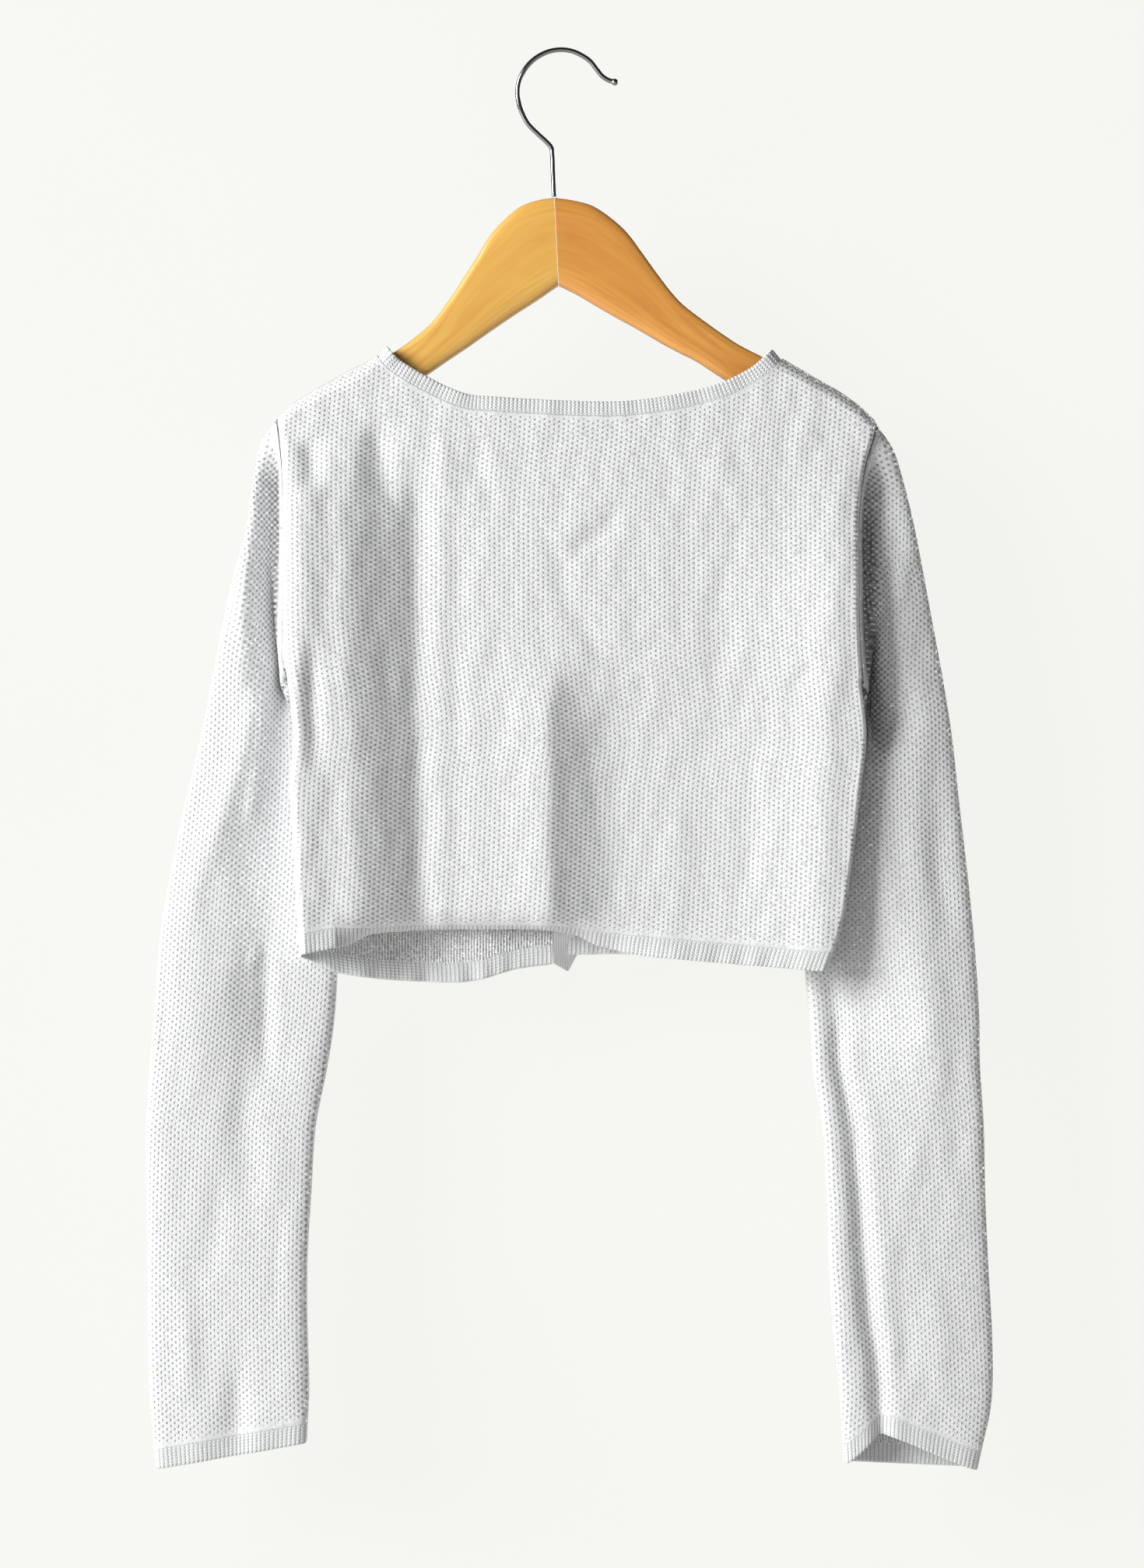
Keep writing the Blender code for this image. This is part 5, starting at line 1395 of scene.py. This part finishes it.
def tube(name, rings, u, v, material):
    """Closed solid through rings of points, its ends closed by ladders."""
    count, sides = rings.shape[:2]
    points = rings.transpose(1, 0, 2)
    quads = quad_grid(sides, count, closed=True)
    seen = quad_grid(sides, count, closed=True, wide=True)
    ends = end_ladders(sides, count)
    sample = count // 2
    outwards = points.reshape(-1, 3)[quads[sample][0]] - rings[sample].mean(axis=0)
    quads, seen = turned_out(np.concatenate([quads, ends]), np.concatenate([seen, ends]),
                             points.reshape(-1, 3), outwards, sample)
    u = np.broadcast_to(u[None, :], (sides + 1, count))
    v = np.broadcast_to(v[:, None], (sides + 1, count))
    piece = put_mesh(name, points.reshape(-1, 3), quads,
                     np.stack([u, v], axis=-1).reshape(-1, 2), seen,
                     np.zeros(len(quads)), {}, [material])
    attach(piece, "root")
    return piece


def arm_rings(table):
    """Sections of an arm: ovals squared by an exponent, between smooth lines
    through the table's top and bottom points."""
    rows = np.array(table)
    number = np.arange(len(rows), dtype=float)
    at = np.linspace(0.0, len(rows) - 1.0, ARM_RINGS)
    top_x, top_z, bottom_x, bottom_z, half = [smooth(number, rows[:, i], at)[:, None]
                                              for i in range(5)]
    angle = (2 * math.pi * np.arange(ARM_SIDES) / ARM_SIDES)[None, :]
    up = np.sign(np.cos(angle)) * np.abs(np.cos(angle)) ** ARM_ROUNDING
    out = np.sign(np.sin(angle)) * np.abs(np.sin(angle)) ** ARM_ROUNDING
    x = (top_x + bottom_x) / 2 + (top_x - bottom_x) / 2 * up
    z = (top_z + bottom_z) / 2 + (top_z - bottom_z) / 2 * up
    rings = np.stack(np.broadcast_arrays(x, half * out, z), axis=-1)
    middle = rings.mean(axis=1)
    run = np.concatenate([[0.0], np.cumsum(np.linalg.norm(np.diff(middle, axis=0), axis=1))])
    round_it = ARM_GIRTH * np.arange(ARM_SIDES + 1) / ARM_SIDES
    return rings, run, round_it


for name, table, pale, deep in (
        ("hanger_arm_left", LEFT_ARM, "#E4B85E", "#D08F38"),
        ("hanger_arm_right", RIGHT_ARM, "#DEA04C", "#BE752B")):
    rings, run, round_it = arm_rings(table)
    arm = tube(name + "_board", rings, run, round_it,
               varnished_beech("varnished_beech_" + name[11:], pale, deep))
    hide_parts(name)


# =================================================================== the hook
# Bright-plated steel wire, three millimetres thick, bent to a question mark,
# with a small ball at its tip, screwed into the top of the mitre.

HOOK_WIRE_RADIUS = 1.4
HOOK_BALL_RADIUS = 2.0
HOOK_SIDES = 24
HOOK_STEPS = 200
HOOK_BALL_STEPS = 14
HOOK_SIDE_WIDTH = 0.36  # way round the wire from one side to the next
HOOK_LINE = (
    # x, z
    (31.1, -17.3), (27.4, -16.2), (24.1, -14.1), (20.7, -10.1), (17.2, -5.6),
    (11.5, -1.6), (5.9, 0.7), (0, 1.4), (-5.9, 0.7), (-11.7, -1.6), (-17.1, -5.4),
    (-21.6, -11), (-24.3, -17.1), (-25.1, -23.4), (-24.3, -29.7), (-22.1, -36),
    (-19.1, -41.4), (-13.5, -47.2), (-8.1, -52.2), (-5.6, -55.1), (-5, -59.4),
    (-4.6, -68.9), (-4, -83.4),
)


def hook_rings():
    """Circles along the smooth bent line, wider round the ball at its tip."""
    rows = np.array(HOOK_LINE)
    run = np.concatenate([[0.0], np.cumsum(np.linalg.norm(np.diff(rows, axis=0), axis=1))])
    at = np.linspace(0.0, run[-1], HOOK_STEPS)
    line = np.stack([smooth(run, rows[:, 0], at), np.zeros_like(at),
                     smooth(run, rows[:, 1], at)], axis=-1)
    ahead = unit(np.gradient(line, axis=0))
    turn = np.linspace(math.pi * 0.98, 0.25 * math.pi, HOOK_BALL_STEPS)
    ball = np.cos(turn) * HOOK_BALL_RADIUS
    line = np.concatenate([line[0] + ball[:, None] * ahead[0], line[4:]])
    ahead = np.concatenate([np.repeat(ahead[:1], len(ball), axis=0), ahead[4:]])
    radius = np.full(len(line), HOOK_WIRE_RADIUS)
    radius[:len(ball)] = np.sqrt(HOOK_BALL_RADIUS ** 2 - ball ** 2)
    side = np.array([0.0, 1.0, 0.0])
    lift = np.cross(ahead, side)
    angle = (2 * math.pi * np.arange(HOOK_SIDES) / HOOK_SIDES)[None, :, None]
    rings = line[:, None] + radius[:, None, None] * (np.cos(angle) * side
                                                     + np.sin(angle) * lift[:, None])
    along = np.concatenate([[0.0], np.cumsum(np.linalg.norm(np.diff(line, axis=0), axis=1))])
    return rings, along, np.arange(HOOK_SIDES + 1) * HOOK_SIDE_WIDTH


# Bright plated steel: a mirror, drawn out into faint streaks along the wire.
plated, tree, shader, place = new_material("bright_plated_wire")
draw_marks = add_node(tree, "Mapping", {"Vector": place, "Scale": (0.15, 3.0, 1.0)})
draw_marks = add_node(tree, "TexNoise", {"Vector": draw_marks, "Scale": 1.0, "Detail": 3.0},
                      noise_dimensions="2D")
polish = add_node(tree, "MapRange", {"Value": draw_marks, "To Min": 0.08, "To Max": 0.26})
feed(tree, shader, {"Base Color": linear("#8E8F91"), "Metallic": 1.0, "Roughness": polish})
hook = tube("hook_wire", *hook_rings(), plated)
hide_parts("hook")


# ================================================================= the studio
# White room, in metres: a pale wall close behind the garment, seen only from
# its painted side, a pale floor, a large soft light from the left, weak ones
# from the front, right and back, and a sky that is bright only to the camera.

WALL_Y = 0.062
FLOOR_Z = -0.96
WALL_GLOW = 0.93        # light that the room gives the wall
WALL_SHARE = 0.05       # share of the studio's light that shows on it
LIGHTS_AIM = (0.0, 0.0, -0.45)
CAMERA_AT = (0.0063, -2.6, -0.423)
VIEW_HEIGHT = 0.9063    # what the camera sees in the garment's plane
SENSOR_HEIGHT = 36.0    # of the camera, in millimetres


def pale_paint(name, one_sided):
    """Matt white emulsion, faintly uneven.  The wall is clear from behind and
    glows as if lit by the rest of the room, so shadows on it stay faint."""
    material, tree, shader, place = new_material(name, on_object=True)
    patchy = add_node(tree, "TexNoise", {"Vector": place, "Scale": 3.0, "Detail": 2.0})
    tint = add_node(tree, "Mix", {0: patchy, 6: linear("#F6F6F3"), 7: linear("#F9F9F6")},
                    data_type="RGBA")
    feed(tree, shader, {"Base Color": tint, "Roughness": 0.9, "Specular IOR Level": 0.1})
    if one_sided:
        dim = add_node(tree, "Mix", {0: 1 - WALL_SHARE, 6: tint, 7: (0.0, 0.0, 0.0, 1.0)},
                       data_type="RGBA")
        feed(tree, shader, {"Base Color": dim, "Emission Color": tint,
                            "Emission Strength": WALL_GLOW})
        facing = add_node(tree, "NewGeometry").outputs["Backfacing"]
        mix = add_node(tree, "MixShader", {0: facing, 1: shader,
                                           2: add_node(tree, "BsdfTransparent")})
        feed(tree, tree.nodes["Material Output"], {"Surface": mix})
    return material


def flat_sheet(name, corners, material):
    """One flat quad of the room."""
    mesh = bpy.data.meshes.new(name)
    mesh.from_pydata(corners, [], [(0, 1, 2, 3)])
    mesh.materials.append(material)
    piece = bpy.data.objects.new(name, mesh)
    bpy.context.scene.collection.objects.link(piece)
    return piece


wall = flat_sheet("wall", [(-3, WALL_Y, FLOOR_Z), (3, WALL_Y, FLOOR_Z),
                           (3, WALL_Y, 2.0), (-3, WALL_Y, 2.0)],
                  pale_paint("matt_wall_paint", True))
wall.visible_diffuse = False
wall.visible_glossy = False
wall.visible_transmission = False
wall.visible_shadow = False
flat_sheet("floor", [(-5, -5, FLOOR_Z), (5, -5, FLOOR_Z), (5, 5, FLOOR_Z), (-5, 5, FLOOR_Z)],
           pale_paint("matt_floor_paint", False))

world = bpy.data.worlds.new("studio")
world.use_nodes = True
tree = world.node_tree
to_camera = add_node(tree, "LightPath").outputs["Is Camera Ray"]
brightness = add_node(tree, "MapRange", {"Value": to_camera, "To Min": 0.05, "To Max": 0.85})
feed(tree, tree.nodes["Background"], {"Color": linear("#FDFDFB"), "Strength": brightness})
bpy.context.scene.world = world

for name, place, size, power in (("key", (-4.3, -2.4, 1.2), 2.8, 462.0),
                                 ("fill", (0.4, -4.4, 0.0), 2.4, 3.0),
                                 ("room", (3.4, 1.6, -0.2), 2.4, 48.0),
                                 ("back_fill", (0.9, 2.4, 0.6), 1.6, 26.0)):
    light = bpy.data.lights.new(name, "AREA")
    light.size = size
    light.energy = power
    lamp = bpy.data.objects.new(name, light)
    lamp.location = place
    away = np.array(place) - np.array(LIGHTS_AIM)
    lamp.rotation_euler = (math.acos(away[2] / np.linalg.norm(away)), 0.0,
                           math.atan2(away[0], -away[1]))
    bpy.context.scene.collection.objects.link(lamp)

camera_data = bpy.data.cameras.new("camera")
camera_data.sensor_fit = "VERTICAL"
camera_data.sensor_height = SENSOR_HEIGHT
camera_data.lens = SENSOR_HEIGHT * -CAMERA_AT[1] / VIEW_HEIGHT
camera = bpy.data.objects.new("camera", camera_data)
camera.location = CAMERA_AT
camera.rotation_euler = (math.pi / 2, 0.0, 0.0)
bpy.context.scene.collection.objects.link(camera)
bpy.context.scene.camera = camera
bpy.context.scene.view_settings.view_transform = "Standard"
